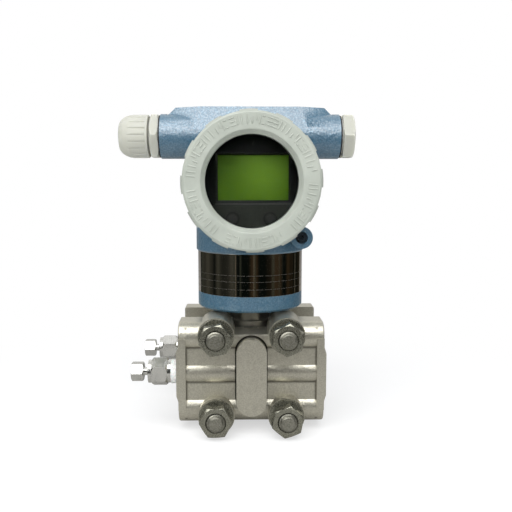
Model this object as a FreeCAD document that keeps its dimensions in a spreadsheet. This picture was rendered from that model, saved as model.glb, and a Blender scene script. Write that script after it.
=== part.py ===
"""Differential pressure transmitter: two cast flanges bolted round a sensor module, with an
electronics housing on the module's neck, two screwed covers, a display, a cable gland and a plug.

Axes: +Z up the neck, -Y out of the display side, +X towards the process ports.
Origin: on the neck's axis, in the plane that the flange bosses stand on. Millimetres.
"""
import FreeCAD, Part
import math
import os
from types import SimpleNamespace

import Sketcher

SIZES = {
    # Process flanges, measured from the flange's middle
    "flange_half_width": 41.1,
    "flange_half_gap": 14.8,
    "port_spacing": 54.0,
    "adapter_spacing": 41.3,
    "lobe_radius": 8.3,
    "rib_radius": 7.85,
    "web_depth": 18.4,
    "end_plate_thickness": 4.2,
    "end_plate_depth": 21.0,
    "port_face_rise": 1.1,
    "port_face_half_height": 12.0,
    "port_face_slope": 3.5,
    "bolt_spacing_x": 39.4,
    "bolt_spacing_z": 45.6,
    "boss_radius": 10.3,
    "boss_length": 24.3,
    "pad_width": 16.8,
    "pad_height": 43.6,
    "pad_depth": 27.7,
    "notch_half_width": 10.5,
    "top_notch_depth": 6.0,
    "bottom_notch_depth": 1.6,
    "cast_edge_radius": 0.9,
    "port_radius": 6.65,
    "port_depth": 14.5,
    "passage_radius": 2.4,
    "adapter_hole_radius": 4.95,
    "adapter_hole_depth": 13.5,
    # Flange bolts, M10
    "bolt_radius": 5.0,
    "bolt_hole_gap": 0.4,
    "bolt_end_chamfer": 1.5,
    "bolt_projection": 2.7,
    "bolt_head_height": 6.4,
    "nut_across_flats": 16.0,
    "nut_height": 8.4,
    "nut_countersink": 0.7,
    "washer_radius": 9.9,
    "washer_thickness": 2.0,
    # Sensor module
    "module_radius": 23.0,
    "module_proud": 1.0,
    "module_groove_radius": 21.6,
    "module_groove_half_width": 3.0,
    "recess_gap": 0.3,
    "gasket_thickness": 1.6,
    "gasket_inner_radius": 17.6,
    "gasket_outer_radius": 21.4,
    "chamber_radius": 16.6,
    "chamber_depth": 3.0,
    "diaphragm_radius": 16.0,
    "diaphragm_thickness": 0.3,
    "diaphragm_cup_depth": 0.8,
    "neck_radius": 11.8,
    "neck_root_radius": 14.0,
    "neck_root_rise": 3.0,
    "neck_engagement": 19.0,
    "header_radius": 5.2,
    "header_height": 4.0,
    "running_gap": 0.05,
    "seat_gap": 0.1,
    # Vent valves
    "vent_thread_radius": 6.6,
    "vent_thread_length": 11.0,
    "tape_thickness": 0.3,
    "tape_length": 3.3,
    "vent_collar_radius": 6.5,
    "vent_collar_length": 2.0,
    "vent_across_flats": 14.0,
    "vent_hex_length": 9.0,
    "vent_bore_radius": 1.5,
    "vent_stem_radius": 3.0,
    "vent_stem_engagement": 9.4,
    "vent_neck_radius": 2.2,
    "vent_neck_length": 2.9,
    "vent_head_across_flats": 9.8,
    "vent_head_length": 6.8,
    "vent_ball_radius": 1.9,
    # Housing
    "foot_gap": 1.1,
    "neck_ring_radius": 31.4,
    "neck_ring_height": 7.9,
    "neck_ring_chamfer": 1.2,
    "nameplate_height": 21.7,
    "nameplate_thickness": 0.5,
    "nameplate_slot": 9.0,
    "collar_radius": 32.3,
    "collar_chamfer": 0.9,
    "cover_axis_rise": 73.6,
    "barrel_radius": 34.5,
    "barrel_half_length": 36.5,
    "compartment_radius": 31.0,
    "bulkhead_front": 2.0,
    "bulkhead_back": 8.0,
    "seal_seat_radius": 33.2,
    "seal_seat_depth": 2.2,
    "cable_channel_radius": 7.0,
    "conduit_rise": 27.1,
    "conduit_boss_radius": 13.1,
    "conduit_half_length": 52.5,
    "conduit_radius": 10.0,
    "conduit_depth": 19.0,
    "wire_way_radius": 3.5,
    "wire_way_offset": 7.5,
    "saddle_top_rise": 43.8,
    "saddle_setback": 4.5,
    "saddle_side_lean": 20.0,
    "saddle_end_chamfer": 4.0,
    "facet_start": 29.5,
    "facet_taper": 0.44,
    "facet_lean": 0.49,
    "lug_x": 28.0,
    "lug_rise": 42.8,
    "lug_radius": 6.2,
    "lug_setback": 3.5,
    "lug_back": 6.0,
    "lug_bore_radius": 3.4,
    "lug_bore_depth": 3.5,
    "lug_screw_radius": 3.0,
    "lug_screw_length": 12.0,
    "lug_socket_across_flats": 3.0,
    "neck_screw_radius": 2.5,
    "neck_screw_socket": 2.5,
    # Covers
    "cover_radius": 37.5,
    "cover_reach": 15.1,
    "cover_rim_gap": 0.4,
    "cover_rim_bevel": 2.1,
    "cover_shoulder": 3.0,
    "skirt_radius": 30.95,
    "skirt_inner_radius": 28.3,
    "skirt_engagement": 8.5,
    "window_radius": 24.7,
    "lip_outer_radius": 26.9,
    "lip_depth": 3.2,
    "lip_thickness": 1.8,
    "land_count": 12.0,
    "land_angle": 14.8,
    "land_height": 0.9,
    "land_phase": 12.3,
    "cover_seal_section": 1.08,
    "back_cover_reach": 11.5,
    "back_cover_wall": 4.0,
    "glass_thickness": 6.0,
    "glass_gap": 0.3,
    "glass_gasket_thickness": 0.8,
    "glass_gasket_inner_radius": 25.0,
    "glass_ring_thickness": 2.8,
    # Electronics and display
    "bezel_radius": 27.6,
    "bezel_depth": 16.0,
    "bezel_wall": 1.6,
    "bezel_skirt_wall": 1.2,
    "bezel_height": 7.7,
    "window_width": 38.4,
    "window_height": 24.4,
    "window_x": 1.0,
    "window_rise": 2.2,
    "window_bevel": 1.0,
    "panel_margin": 0.8,
    "panel_thickness": 5.4,
    "board_thickness": 1.6,
    "display_board_radius": 27.2,
    "main_board_radius": 28.0,
    "main_board_depth": 8.0,
    "post_circle": 21.0,
    "post_radius": 2.4,
    "chip_size": 12.0,
    "chip_height": 2.2,
    "button_x": 10.2,
    "button_drop": 20.0,
    "button_radius": 2.2,
    "button_proud": 0.6,
    "button_travel": 0.5,
    "block_width": 40.0,
    "block_height": 22.0,
    "block_depth": 12.0,
    "terminal_pitch": 12.0,
    "terminal_screw_radius": 3.0,
    "terminal_screw_height": 2.4,
    "terminal_slot_width": 0.9,
    "ground_screw_drop": 22.0,
    # Cable gland and blanking plug, M20
    "gland_across_flats": 24.4,
    "gland_hex_length": 5.0,
    "conduit_seal_thickness": 0.9,
    "conduit_seal_radius": 12.4,
    "gland_thread_radius": 9.9,
    "gland_thread_length": 11.0,
    "gland_neck_radius": 9.6,
    "gland_neck_length": 10.0,
    "gland_bore_radius": 7.6,
    "gland_cap_radius": 12.65,
    "gland_cap_rise": 7.1,
    "gland_cap_length": 17.2,
    "gland_dome_length": 8.0,
    "gland_cap_lip": 3.0,
    "gland_cap_mouth": 5.4,
    "gland_cap_end_radius": 8.8,
    "gland_flute_count": 20.0,
    "gland_flute_depth": 0.45,
    "gland_flute_radius": 0.6,
    "gland_flute_setback": 1.4,
    "gland_seal_inner_radius": 4.0,
    "gland_seal_length": 8.0,
    "plug_hex_length": 6.6,
    "plug_collar_radius": 11.6,
    "plug_collar_length": 1.0,
}

NUT_TURNS = {"upper_left": 12.0, "upper_right": 24.0, "lower_left": 2.0, "lower_right": 20.0}

doc = FreeCAD.newDocument("PressureTransmitter")
sheet = doc.addObject("Spreadsheet::Sheet", "Sizes")


class Size:
    """A length with its value now and the expression that gives it from the sheet."""

    def __init__(self, value, text):
        self.value = float(value)
        self.text = text

    def __add__(self, other):
        other = as_size(other)
        return Size(self.value + other.value, "(%s + %s)" % (self.text, other.text))

    __radd__ = __add__

    def __sub__(self, other):
        other = as_size(other)
        return Size(self.value - other.value, "(%s - %s)" % (self.text, other.text))

    def __rsub__(self, other):
        return as_size(other) - self

    def __mul__(self, other):
        other = as_size(other)
        return Size(self.value * other.value, "(%s * %s)" % (self.text, other.text))

    __rmul__ = __mul__

    def __truediv__(self, other):
        other = as_size(other)
        return Size(self.value / other.value, "(%s / %s)" % (self.text, other.text))

    def __neg__(self):
        return 0.0 - self

    def root(self):
        """The square root."""
        return Size(math.sqrt(self.value), "sqrt(%s)" % self.text)


def as_size(value):
    """A plain number as a Size."""
    return value if isinstance(value, Size) else Size(value, repr(float(value)))


def read_sizes():
    """Put the driving sizes into the sheet and return them as named Size values."""
    named = {}
    for row, (alias, value) in enumerate(SIZES.items(), start=1):
        sheet.set("A%d" % row, alias)
        sheet.set("B%d" % row, str(value))
        sheet.setAlias("B%d" % row, alias)
        named[alias] = Size(value, "Sizes." + alias)
    return SimpleNamespace(**named)


d = read_sizes()
doc.recompute()

ZERO = as_size(0.0)
TOWARDS = {
    "up": FreeCAD.Rotation(),
    "front": FreeCAD.Rotation(FreeCAD.Vector(1, 0, 0), 90),
    "back": FreeCAD.Rotation(FreeCAD.Vector(1, 0, 0), -90),
    "left": FreeCAD.Rotation(FreeCAD.Vector(0, 1, 0), -90),
    "right": FreeCAD.Rotation(FreeCAD.Vector(0, 1, 0), 90),
}


# Helpers for bodies, sketches and features

def bind(item, path, size):
    """Bind one property of an object to a size."""
    item.setExpression(path, as_size(size).text)


def place(item, x=ZERO, y=ZERO, z=ZERO, towards="up"):
    """Turn an object's own Z to a side and bind its place."""
    item.Placement = FreeCAD.Placement(FreeCAD.Vector(), TOWARDS[towards])
    for axis, size in zip("xyz", (x, y, z)):
        bind(item, "Placement.Base." + axis, size)
    return item


def new_body(label):
    """An empty body with the sub-part's name."""
    body = doc.addObject("PartDesign::Body", label)
    body.Label = label
    return body


def new_sketch(body, plane="XZ_Plane", lift=ZERO):
    """A sketch on one of the body's own planes, lifted along the plane's normal."""
    sketch = body.newObject("Sketcher::SketchObject", body.Label + "_sketch")
    flat = [item for item in body.Origin.OriginFeatures if item.Role == plane][0]
    sketch.AttachmentSupport = (flat, [""])
    sketch.MapMode = "FlatFace"
    bind(sketch, "AttachmentOffset.Base.z", lift)
    return sketch


def fix_point(sketch, geometry, vertex, x, y):
    """Hold a sketch point at x, y from the sketch's origin."""
    for kind, size in (("DistanceX", as_size(x)), ("DistanceY", as_size(y))):
        index = sketch.addConstraint(
            Sketcher.Constraint(kind, -1, 1, geometry, vertex, size.value))
        bind(sketch, "Constraints[%d]" % index, size)


def outline(sketch, points):
    """A closed outline of straight lines through the points."""
    points = [(as_size(x), as_size(y)) for x, y in points]
    first = sketch.GeometryCount
    vectors = [FreeCAD.Vector(x.value, y.value, 0) for x, y in points]
    for start, end in zip(vectors, vectors[1:] + vectors[:1]):
        sketch.addGeometry(Part.LineSegment(start, end), False)
    count = len(points)
    for number, (x, y) in enumerate(points):
        line = first + number
        before = first + (number - 1) % count
        sketch.addConstraint(Sketcher.Constraint("Coincident", before, 2, line, 1))
        fix_point(sketch, line, 1, x, y)
    return sketch


def rectangle(sketch, left, bottom, right, top):
    """A closed rectangle."""
    return outline(sketch, [(left, bottom), (right, bottom), (right, top), (left, top)])


def circle(sketch, x, y, radius):
    """A circle about x, y."""
    x, y, radius = as_size(x), as_size(y), as_size(radius)
    number = sketch.GeometryCount
    centre = FreeCAD.Vector(x.value, y.value, 0)
    sketch.addGeometry(Part.Circle(centre, FreeCAD.Vector(0, 0, 1), radius.value), False)
    fix_point(sketch, number, 3, x, y)
    index = sketch.addConstraint(Sketcher.Constraint("Radius", number, radius.value))
    bind(sketch, "Constraints[%d]" % index, radius)
    return sketch


def hexagon(sketch, across_flats, x=ZERO, y=ZERO):
    """A hexagon with flats at the top and bottom."""
    corner = across_flats / math.sqrt(3.0)
    points = []
    for step in range(6):
        angle = math.radians(60 * step)
        points.append((x + corner * math.cos(angle), y + corner * math.sin(angle)))
    return outline(sketch, points)


def feature(body, kind, sketch, **settings):
    """A feature of the body made from a sketch."""
    made = body.newObject("PartDesign::" + kind, "%s_%s" % (body.Label, kind.lower()))
    made.Profile = sketch
    for name, value in settings.items():
        if isinstance(value, Size):
            bind(made, name, value)
        else:
            setattr(made, name, value)
    return made


def pad(body, sketch, length, **settings):
    """Add a prism."""
    return feature(body, "Pad", sketch, Length=as_size(length), **settings)


def pocket(body, sketch, length, **settings):
    """Cut a prism."""
    return feature(body, "Pocket", sketch, Length=as_size(length), **settings)


def spin(body, sketch, kind="Revolution"):
    """Turn a profile a full turn about the sketch's upright axis, to add or to cut."""
    return feature(body, kind, sketch, ReferenceAxis=(sketch, ["V_Axis"]), Angle=360.0)


def turned(label, profile, x=ZERO, y=ZERO, z=ZERO, towards="up"):
    """A turned body: profile points are radius and distance along the axis."""
    body = new_body(label)
    spin(body, outline(new_sketch(body), profile))
    return place(body, x, y, z, towards)


def loft(body, sections):
    """Cut the straight-sided solid between two sections."""
    doc.recompute()
    made = body.newObject("PartDesign::SubtractiveLoft", body.Label + "_loft")
    made.Profile = sections[0]
    made.Sections = sections[1:]
    made.Ruled = True
    return made


def hex_prism(body, across_flats, start, end, chamfer_start=True, chamfer_end=True, angle=0.0):
    """Add a hexagon from start to end with its corners turned off at 30 degrees."""
    flat = new_sketch(body, "XY_Plane", start)
    hexagon(flat, across_flats)
    flat.AttachmentOffset = FreeCAD.Placement(
        flat.AttachmentOffset.Base, FreeCAD.Rotation(FreeCAD.Vector(0, 0, 1), angle))
    pad(body, flat, end - start)
    outside = across_flats * 0.62
    slope = (outside - across_flats / 2.0) * math.tan(math.radians(30))
    if chamfer_start:
        spin(body, outline(new_sketch(body), [
            (across_flats / 2.0, start), (outside, start), (outside, start + slope)]), "Groove")
    if chamfer_end:
        spin(body, outline(new_sketch(body), [
            (across_flats / 2.0, end), (outside, end), (outside, end - slope)]), "Groove")


def ring(label, inner, outer, start, end, x=ZERO, y=ZERO, z=ZERO, towards="up"):
    """A flat ring."""
    return turned(label, [(inner, start), (outer, start), (outer, end), (inner, end)],
                  x, y, z, towards)


def repeat(body, made, count, angle=360.0):
    """Repeat the last feature round the body's own Z."""
    pattern = body.newObject("PartDesign::PolarPattern", body.Label + "_pattern")
    pattern.Originals = [made]
    axis = [item for item in body.Origin.OriginFeatures if item.Role == "Z_Axis"][0]
    pattern.Axis = (axis, [""])
    pattern.Angle = angle
    bind(pattern, "Occurrences", count)
    body.Tip = pattern
    return pattern


def mirrored(label, source, normal):
    """A mirror image through the origin."""
    copy = doc.addObject("Part::Mirroring", label)
    copy.Label = label
    copy.Source = source
    copy.Normal = normal
    return copy


def group(label, members):
    """Several like solids as one sub-part."""
    made = doc.addObject("Part::Compound", label)
    made.Label = label
    made.Links = members
    return made


# Places worked out from the sizes

FLANGE_Z = d.bolt_spacing_z / 2.0 + d.boss_radius
PORT_Y = d.port_spacing / 2.0
LOBE_Z = d.adapter_spacing / 2.0
LOBE_TOP = LOBE_Z + d.lobe_radius
BOLT_X = d.bolt_spacing_x / 2.0
BOLT_Z = d.bolt_spacing_z / 2.0
BOSS_FACE = d.flange_half_gap + d.boss_length
PORT_FACE_X = d.flange_half_width + d.port_face_rise
MODULE_FACE = d.flange_half_gap + d.module_proud
RECESS_FLOOR = MODULE_FACE + d.gasket_thickness
FOOT_Z = FLANGE_Z + BOLT_Z + d.boss_radius + d.foot_gap
COVER_Z = FOOT_Z + d.cover_axis_rise
CONDUIT_Z = COVER_Z + d.conduit_rise
PLATE_Z = FOOT_Z + d.neck_ring_height
COLLAR_Z = PLATE_Z + d.nameplate_height
NECK_TOP = FOOT_Z + d.neck_engagement
LUG_Z = FOOT_Z + d.lug_rise
SEAL_X = d.conduit_half_length + d.conduit_seal_thickness
COVER_FRONT = d.barrel_half_length + d.cover_reach
COVER_RIM_BACK = d.barrel_half_length + d.cover_rim_gap
COVER_SIDE_END = COVER_FRONT - d.cover_shoulder
SKIRT_END = d.barrel_half_length - d.skirt_engagement
BACK_COVER_FRONT = d.barrel_half_length + d.back_cover_reach
BEZEL_FACE = COVER_FRONT - d.bezel_depth
BEZEL_BACK = BEZEL_FACE - d.bezel_height
LUG_FRONT = d.barrel_half_length - d.lug_setback
GLAND_CAP_START = d.conduit_half_length + d.gland_cap_rise
GLAND_CAP_END = GLAND_CAP_START + d.gland_cap_length


# Process flanges

def round_ends(body, made):
    """Round the cast edges at the two ends, along the top, the bottom and the lobes."""
    doc.recompute()
    end_x = d.flange_half_width.value
    names = []
    for number, edge in enumerate(made.Shape.Edges, start=1):
        span = edge.BoundBox
        at_end = abs(abs(span.XMin) - end_x) < 0.01 and abs(span.XMax - span.XMin) < 0.01
        inner_edge = span.YMin > -d.flange_half_gap.value - 0.01
        between = span.ZMax < LOBE_Z.value and span.ZMin > -LOBE_Z.value
        if at_end and not inner_edge and not between:
            names.append("Edge%d" % number)
    fillet = body.newObject("PartDesign::Fillet", body.Label + "_fillet")
    fillet.Base = (made, names)
    bind(fillet, "Radius", d.cast_edge_radius)


def cast_flange(label):
    """One flange: lobes for the adapter bolts, a rib over the port, webs, end plates, four
    bolt bosses and the long pad, with the ports, passages and seal recess bored in it."""
    body = new_body(label)
    inner = -d.flange_half_gap
    web = inner - d.web_depth
    width = d.flange_half_width * 2.0
    sides = {"SideType": "Symmetric"}

    pad(body, rectangle(new_sketch(body, "YZ_Plane"), -PORT_Y, -LOBE_TOP, inner, LOBE_TOP),
        width, **sides)
    lobes = new_sketch(body, "YZ_Plane")
    circle(lobes, -PORT_Y, LOBE_Z, d.lobe_radius)
    circle(lobes, -PORT_Y, -LOBE_Z, d.lobe_radius)
    round_ends(body, pad(body, lobes, width, **sides))
    pad(body, rectangle(new_sketch(body, "YZ_Plane"), web, -LOBE_Z, -PORT_Y + 1.0, LOBE_Z),
        width, **sides)
    pad(body, circle(new_sketch(body, "YZ_Plane"), -PORT_Y, ZERO, d.rib_radius), width, **sides)

    plate = inner - d.end_plate_depth
    face = d.port_face_half_height
    slope_end = face + d.port_face_slope
    inside = d.flange_half_width - d.end_plate_thickness
    for side in (-1.0, 1.0):
        end = new_sketch(body, "XZ_Plane", d.flange_half_gap)
        outline(end, [
            (side * inside, -LOBE_Z),
            (side * d.flange_half_width, -LOBE_Z),
            (side * d.flange_half_width, -slope_end),
            (side * PORT_FACE_X, -face),
            (side * PORT_FACE_X, face),
            (side * d.flange_half_width, slope_end),
            (side * d.flange_half_width, LOBE_Z),
            (side * inside, LOBE_Z)])
        pad(body, end, d.end_plate_depth)

    notch = new_sketch(body, "XZ_Plane", d.flange_half_gap - 1.0)
    rectangle(notch, -d.notch_half_width, LOBE_TOP - d.top_notch_depth,
              d.notch_half_width, LOBE_TOP + 1.0)
    rectangle(notch, -d.notch_half_width, -LOBE_TOP - 1.0,
              d.notch_half_width, -LOBE_TOP + d.bottom_notch_depth)
    pocket(body, notch, d.boss_length, Reversed=True)

    bosses = new_sketch(body, "XZ_Plane", d.flange_half_gap)
    for x in (-BOLT_X, BOLT_X):
        for z in (-BOLT_Z, BOLT_Z):
            circle(bosses, x, z, d.boss_radius)
    pad(body, bosses, d.boss_length)

    half = d.pad_width / 2.0
    straight = d.pad_height / 2.0 - half
    tongue = new_sketch(body, "XZ_Plane", d.flange_half_gap)
    rectangle(tongue, -half, -straight, half, straight)
    pad(body, tongue, d.pad_depth)
    for z in (straight, -straight):
        pad(body, circle(new_sketch(body, "XZ_Plane", d.flange_half_gap), ZERO, z, half),
            d.pad_depth)

    holes = new_sketch(body, "XZ_Plane", d.flange_half_gap - 1.0)
    for x in (-BOLT_X, BOLT_X):
        for z in (-BOLT_Z, BOLT_Z):
            circle(holes, x, z, d.bolt_radius + d.bolt_hole_gap)
    pocket(body, holes, d.boss_length + 2.0, Reversed=True)

    recess = new_sketch(body, "XZ_Plane", d.flange_half_gap - 1.0)
    circle(recess, ZERO, ZERO, d.module_radius + d.recess_gap)
    pocket(body, recess, RECESS_FLOOR - d.flange_half_gap + 1.0, Reversed=True)
    chamber = new_sketch(body, "XZ_Plane", RECESS_FLOOR - 1.0)
    circle(chamber, ZERO, ZERO, d.chamber_radius)
    pocket(body, chamber, d.chamber_depth + 1.0, Reversed=True)
    feed = new_sketch(body, "XZ_Plane", RECESS_FLOOR)
    circle(feed, ZERO, ZERO, d.passage_radius)
    pocket(body, feed, PORT_Y - RECESS_FLOOR, Reversed=True)

    pocket(body, circle(new_sketch(body, "YZ_Plane"), -PORT_Y, ZERO, d.passage_radius),
           width, **sides)
    for side in (1.0, -1.0):
        mouth = new_sketch(body, "YZ_Plane", side * (PORT_FACE_X - d.port_depth))
        circle(mouth, -PORT_Y, ZERO, d.port_radius)
        pocket(body, mouth, d.port_depth + 1.0, Reversed=side > 0)
    adapter = new_sketch(body, "YZ_Plane", d.flange_half_width - d.adapter_hole_depth)
    for z in (LOBE_Z, -LOBE_Z):
        circle(adapter, -PORT_Y, z, d.adapter_hole_radius)
    pocket(body, adapter, d.adapter_hole_depth + 1.0, Reversed=True)
    return place(body, z=FLANGE_Z)


front_flange = cast_flange("front_flange")
rear_flange = mirrored("rear_flange", front_flange, FreeCAD.Vector(0, 1, 0))


# Flange bolts, nuts and washers

def corner_places():
    """Names and places of the four bolts."""
    return {
        "upper_left": (-BOLT_X, FLANGE_Z + BOLT_Z),
        "upper_right": (BOLT_X, FLANGE_Z + BOLT_Z),
        "lower_left": (-BOLT_X, FLANGE_Z - BOLT_Z),
        "lower_right": (BOLT_X, FLANGE_Z - BOLT_Z),
    }


def flange_bolt(corner, x, z):
    """A hexagon bolt, from its head behind the rear flange to its end before the front nut."""
    body = new_body("bolt_" + corner)
    head = -(BOSS_FACE + d.washer_thickness)
    tip = BOSS_FACE + d.washer_thickness + d.nut_height + d.bolt_projection
    spin(body, outline(new_sketch(body), [
        (ZERO, head - d.bolt_head_height / 2.0), (d.bolt_radius, head - d.bolt_head_height / 2.0),
        (d.bolt_radius, tip - d.bolt_end_chamfer), (d.bolt_radius - d.bolt_end_chamfer, tip),
        (ZERO, tip)]))
    hex_prism(body, d.nut_across_flats, head - d.bolt_head_height, head, chamfer_end=False)
    return place(body, x, ZERO, z, "front")


def flange_nut(corner, x, z):
    """A hexagon nut, turned to where its thread stopped."""
    body = new_body("nut_" + corner)
    start = BOSS_FACE + d.washer_thickness
    end = start + d.nut_height
    hex_prism(body, d.nut_across_flats, start, end, chamfer_start=False,
              angle=NUT_TURNS[corner])
    bore = new_sketch(body, "XY_Plane", start - 1.0)
    circle(bore, ZERO, ZERO, d.bolt_radius)
    pocket(body, bore, d.nut_height + 2.0, Reversed=True)
    sink = d.nut_countersink
    loft(body, [circle(new_sketch(body, "XY_Plane", at), ZERO, ZERO, wide) for at, wide in (
        (end - sink, d.bolt_radius), (end + sink, d.bolt_radius + sink * 2.0))])
    return place(body, x, ZERO, z, "front")


def flange_washers(corner, x, z):
    """A washer under the nut and one under the head."""
    inner = d.bolt_radius + d.bolt_hole_gap / 2.0
    end = BOSS_FACE + d.washer_thickness
    return [ring("washer_%s_%s" % (side, corner), inner, d.washer_radius, BOSS_FACE, end,
                 x, ZERO, z, side) for side in ("front", "back")]


bolts, nuts, washers = [], [], []
for corner, (x, z) in corner_places().items():
    bolts.append(flange_bolt(corner, x, z))
    nuts.append(flange_nut(corner, x, z))
    washers += flange_washers(corner, x, z)
group("flange_bolts", bolts)
group("flange_nuts", nuts)
group("flange_washers", washers)


# Sensor module between the flanges

def sensor_module():
    """The round cell clamped between the flanges, with the neck that carries the housing."""
    body = new_body("sensor_module")
    groove = d.module_groove_half_width
    cell = new_sketch(body, "XZ_Plane", -MODULE_FACE)
    circle(cell, ZERO, ZERO, d.module_radius)
    pad(body, cell, MODULE_FACE * 2.0)
    waist = new_sketch(body, "XZ_Plane", -groove)
    circle(waist, ZERO, ZERO, d.module_radius + 1.0)
    circle(waist, ZERO, ZERO, d.module_groove_radius)
    pocket(body, waist, groove * 2.0, Reversed=True)
    root = new_sketch(body, "XY_Plane", ZERO)
    circle(root, ZERO, ZERO, d.neck_root_radius)
    pad(body, root, d.module_radius + d.neck_root_rise)
    neck = new_sketch(body, "XY_Plane", ZERO)
    circle(neck, ZERO, ZERO, d.neck_radius)
    pad(body, neck, NECK_TOP - FLANGE_Z)
    pin_face = new_sketch(body, "XY_Plane", NECK_TOP - FLANGE_Z)
    circle(pin_face, ZERO, ZERO, d.header_radius)
    pad(body, pin_face, d.header_height)
    for side in (1.0, -1.0):
        cup = new_sketch(body, "XZ_Plane", side * (MODULE_FACE - d.diaphragm_cup_depth))
        circle(cup, ZERO, ZERO, d.diaphragm_radius)
        pocket(body, cup, d.diaphragm_cup_depth + 1.0, Reversed=side > 0)
    return place(body, z=FLANGE_Z)


sensor_module()
for side, towards in (("front", "front"), ("rear", "back")):
    ring(side + "_gasket", d.gasket_inner_radius, d.gasket_outer_radius, MODULE_FACE,
         RECESS_FLOOR, z=FLANGE_Z, towards=towards)
    cup_floor = MODULE_FACE - d.diaphragm_cup_depth
    skin = d.diaphragm_thickness
    wave = d.diaphragm_radius / 3.0
    turned(side + "_diaphragm", [
        (ZERO, cup_floor + skin), (wave, cup_floor), (wave * 2.0, cup_floor + skin),
        (d.diaphragm_radius, cup_floor), (d.diaphragm_radius, cup_floor + skin),
        (wave * 2.0, cup_floor + skin * 2.0), (wave, cup_floor + skin),
        (ZERO, cup_floor + skin * 2.0)], z=FLANGE_Z, towards=towards)


# Vent valves

VENT_COLLAR = PORT_FACE_X + d.tape_length
VENT_HEX = VENT_COLLAR + d.vent_collar_length
VENT_HEX_END = VENT_HEX + d.vent_hex_length
VENT_MOUTH = VENT_HEX_END + d.vent_collar_length
VENT_STEM_START = VENT_MOUTH - d.vent_stem_engagement
VENT_BALL = VENT_STEM_START - d.seat_gap - d.vent_ball_radius
SEAT_DROP = (d.vent_ball_radius * d.vent_ball_radius
             - d.vent_bore_radius * d.vent_bore_radius).root()
VENT_SEAT = VENT_BALL - SEAT_DROP - d.running_gap


def vent_body(label, y):
    """The valve body screwed into the flange, with its hexagon and the bored seat."""
    body = new_body(label)
    start = PORT_FACE_X - d.vent_thread_length
    bore = d.vent_stem_radius + d.running_gap
    spin(body, outline(new_sketch(body), [
        (d.vent_bore_radius, start), (d.vent_thread_radius, start),
        (d.vent_thread_radius, VENT_COLLAR), (d.vent_collar_radius, VENT_COLLAR),
        (d.vent_collar_radius, VENT_MOUTH), (bore, VENT_MOUTH), (bore, VENT_SEAT),
        (d.vent_bore_radius, VENT_SEAT)]))
    hex_sketch = new_sketch(body, "XY_Plane", VENT_HEX)
    hexagon(hex_sketch, d.vent_across_flats)
    circle(hex_sketch, ZERO, ZERO, d.vent_collar_radius - 1.0)
    pad(body, hex_sketch, d.vent_hex_length)
    outside = d.vent_across_flats * 0.62
    slope = outside - d.vent_across_flats / 2.0
    for edge, run in ((VENT_HEX, slope), (VENT_HEX_END, -slope)):
        spin(body, outline(new_sketch(body), [
            (d.vent_across_flats / 2.0, edge), (outside, edge), (outside, edge + run)]), "Groove")
    return place(body, ZERO, y, FLANGE_Z, "left")


def vent_stem(label, y):
    """The bleed screw: thread, thin neck and hexagon head."""
    body = new_body(label)
    head = VENT_MOUTH + d.vent_neck_length
    spin(body, outline(new_sketch(body), [
        (ZERO, VENT_STEM_START), (d.vent_stem_radius, VENT_STEM_START),
        (d.vent_stem_radius, VENT_MOUTH), (d.vent_neck_radius, VENT_MOUTH + 0.8),
        (d.vent_neck_radius, head + 1.0), (ZERO, head + 1.0)]))
    hex_prism(body, d.vent_head_across_flats, head, head + d.vent_head_length, angle=30.0)
    return place(body, ZERO, y, FLANGE_Z, "left")


for side, y in (("front", -PORT_Y), ("rear", PORT_Y)):
    vent_body(side + "_vent_body", y)
    vent_stem(side + "_vent_stem", y)
    ball = doc.addObject("Part::Sphere", side + "_vent_ball")
    bind(ball, "Radius", d.vent_ball_radius)
    place(ball, -VENT_BALL, y, FLANGE_Z)
tapes = [ring("tape_" + side, d.vent_thread_radius, d.vent_thread_radius + d.tape_thickness,
              PORT_FACE_X + d.seat_gap, VENT_COLLAR, ZERO, y, FLANGE_Z, "left")
         for side, y in (("front", -PORT_Y), ("rear", PORT_Y))]
group("thread_tapes", tapes)


# Electronics housing

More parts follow.
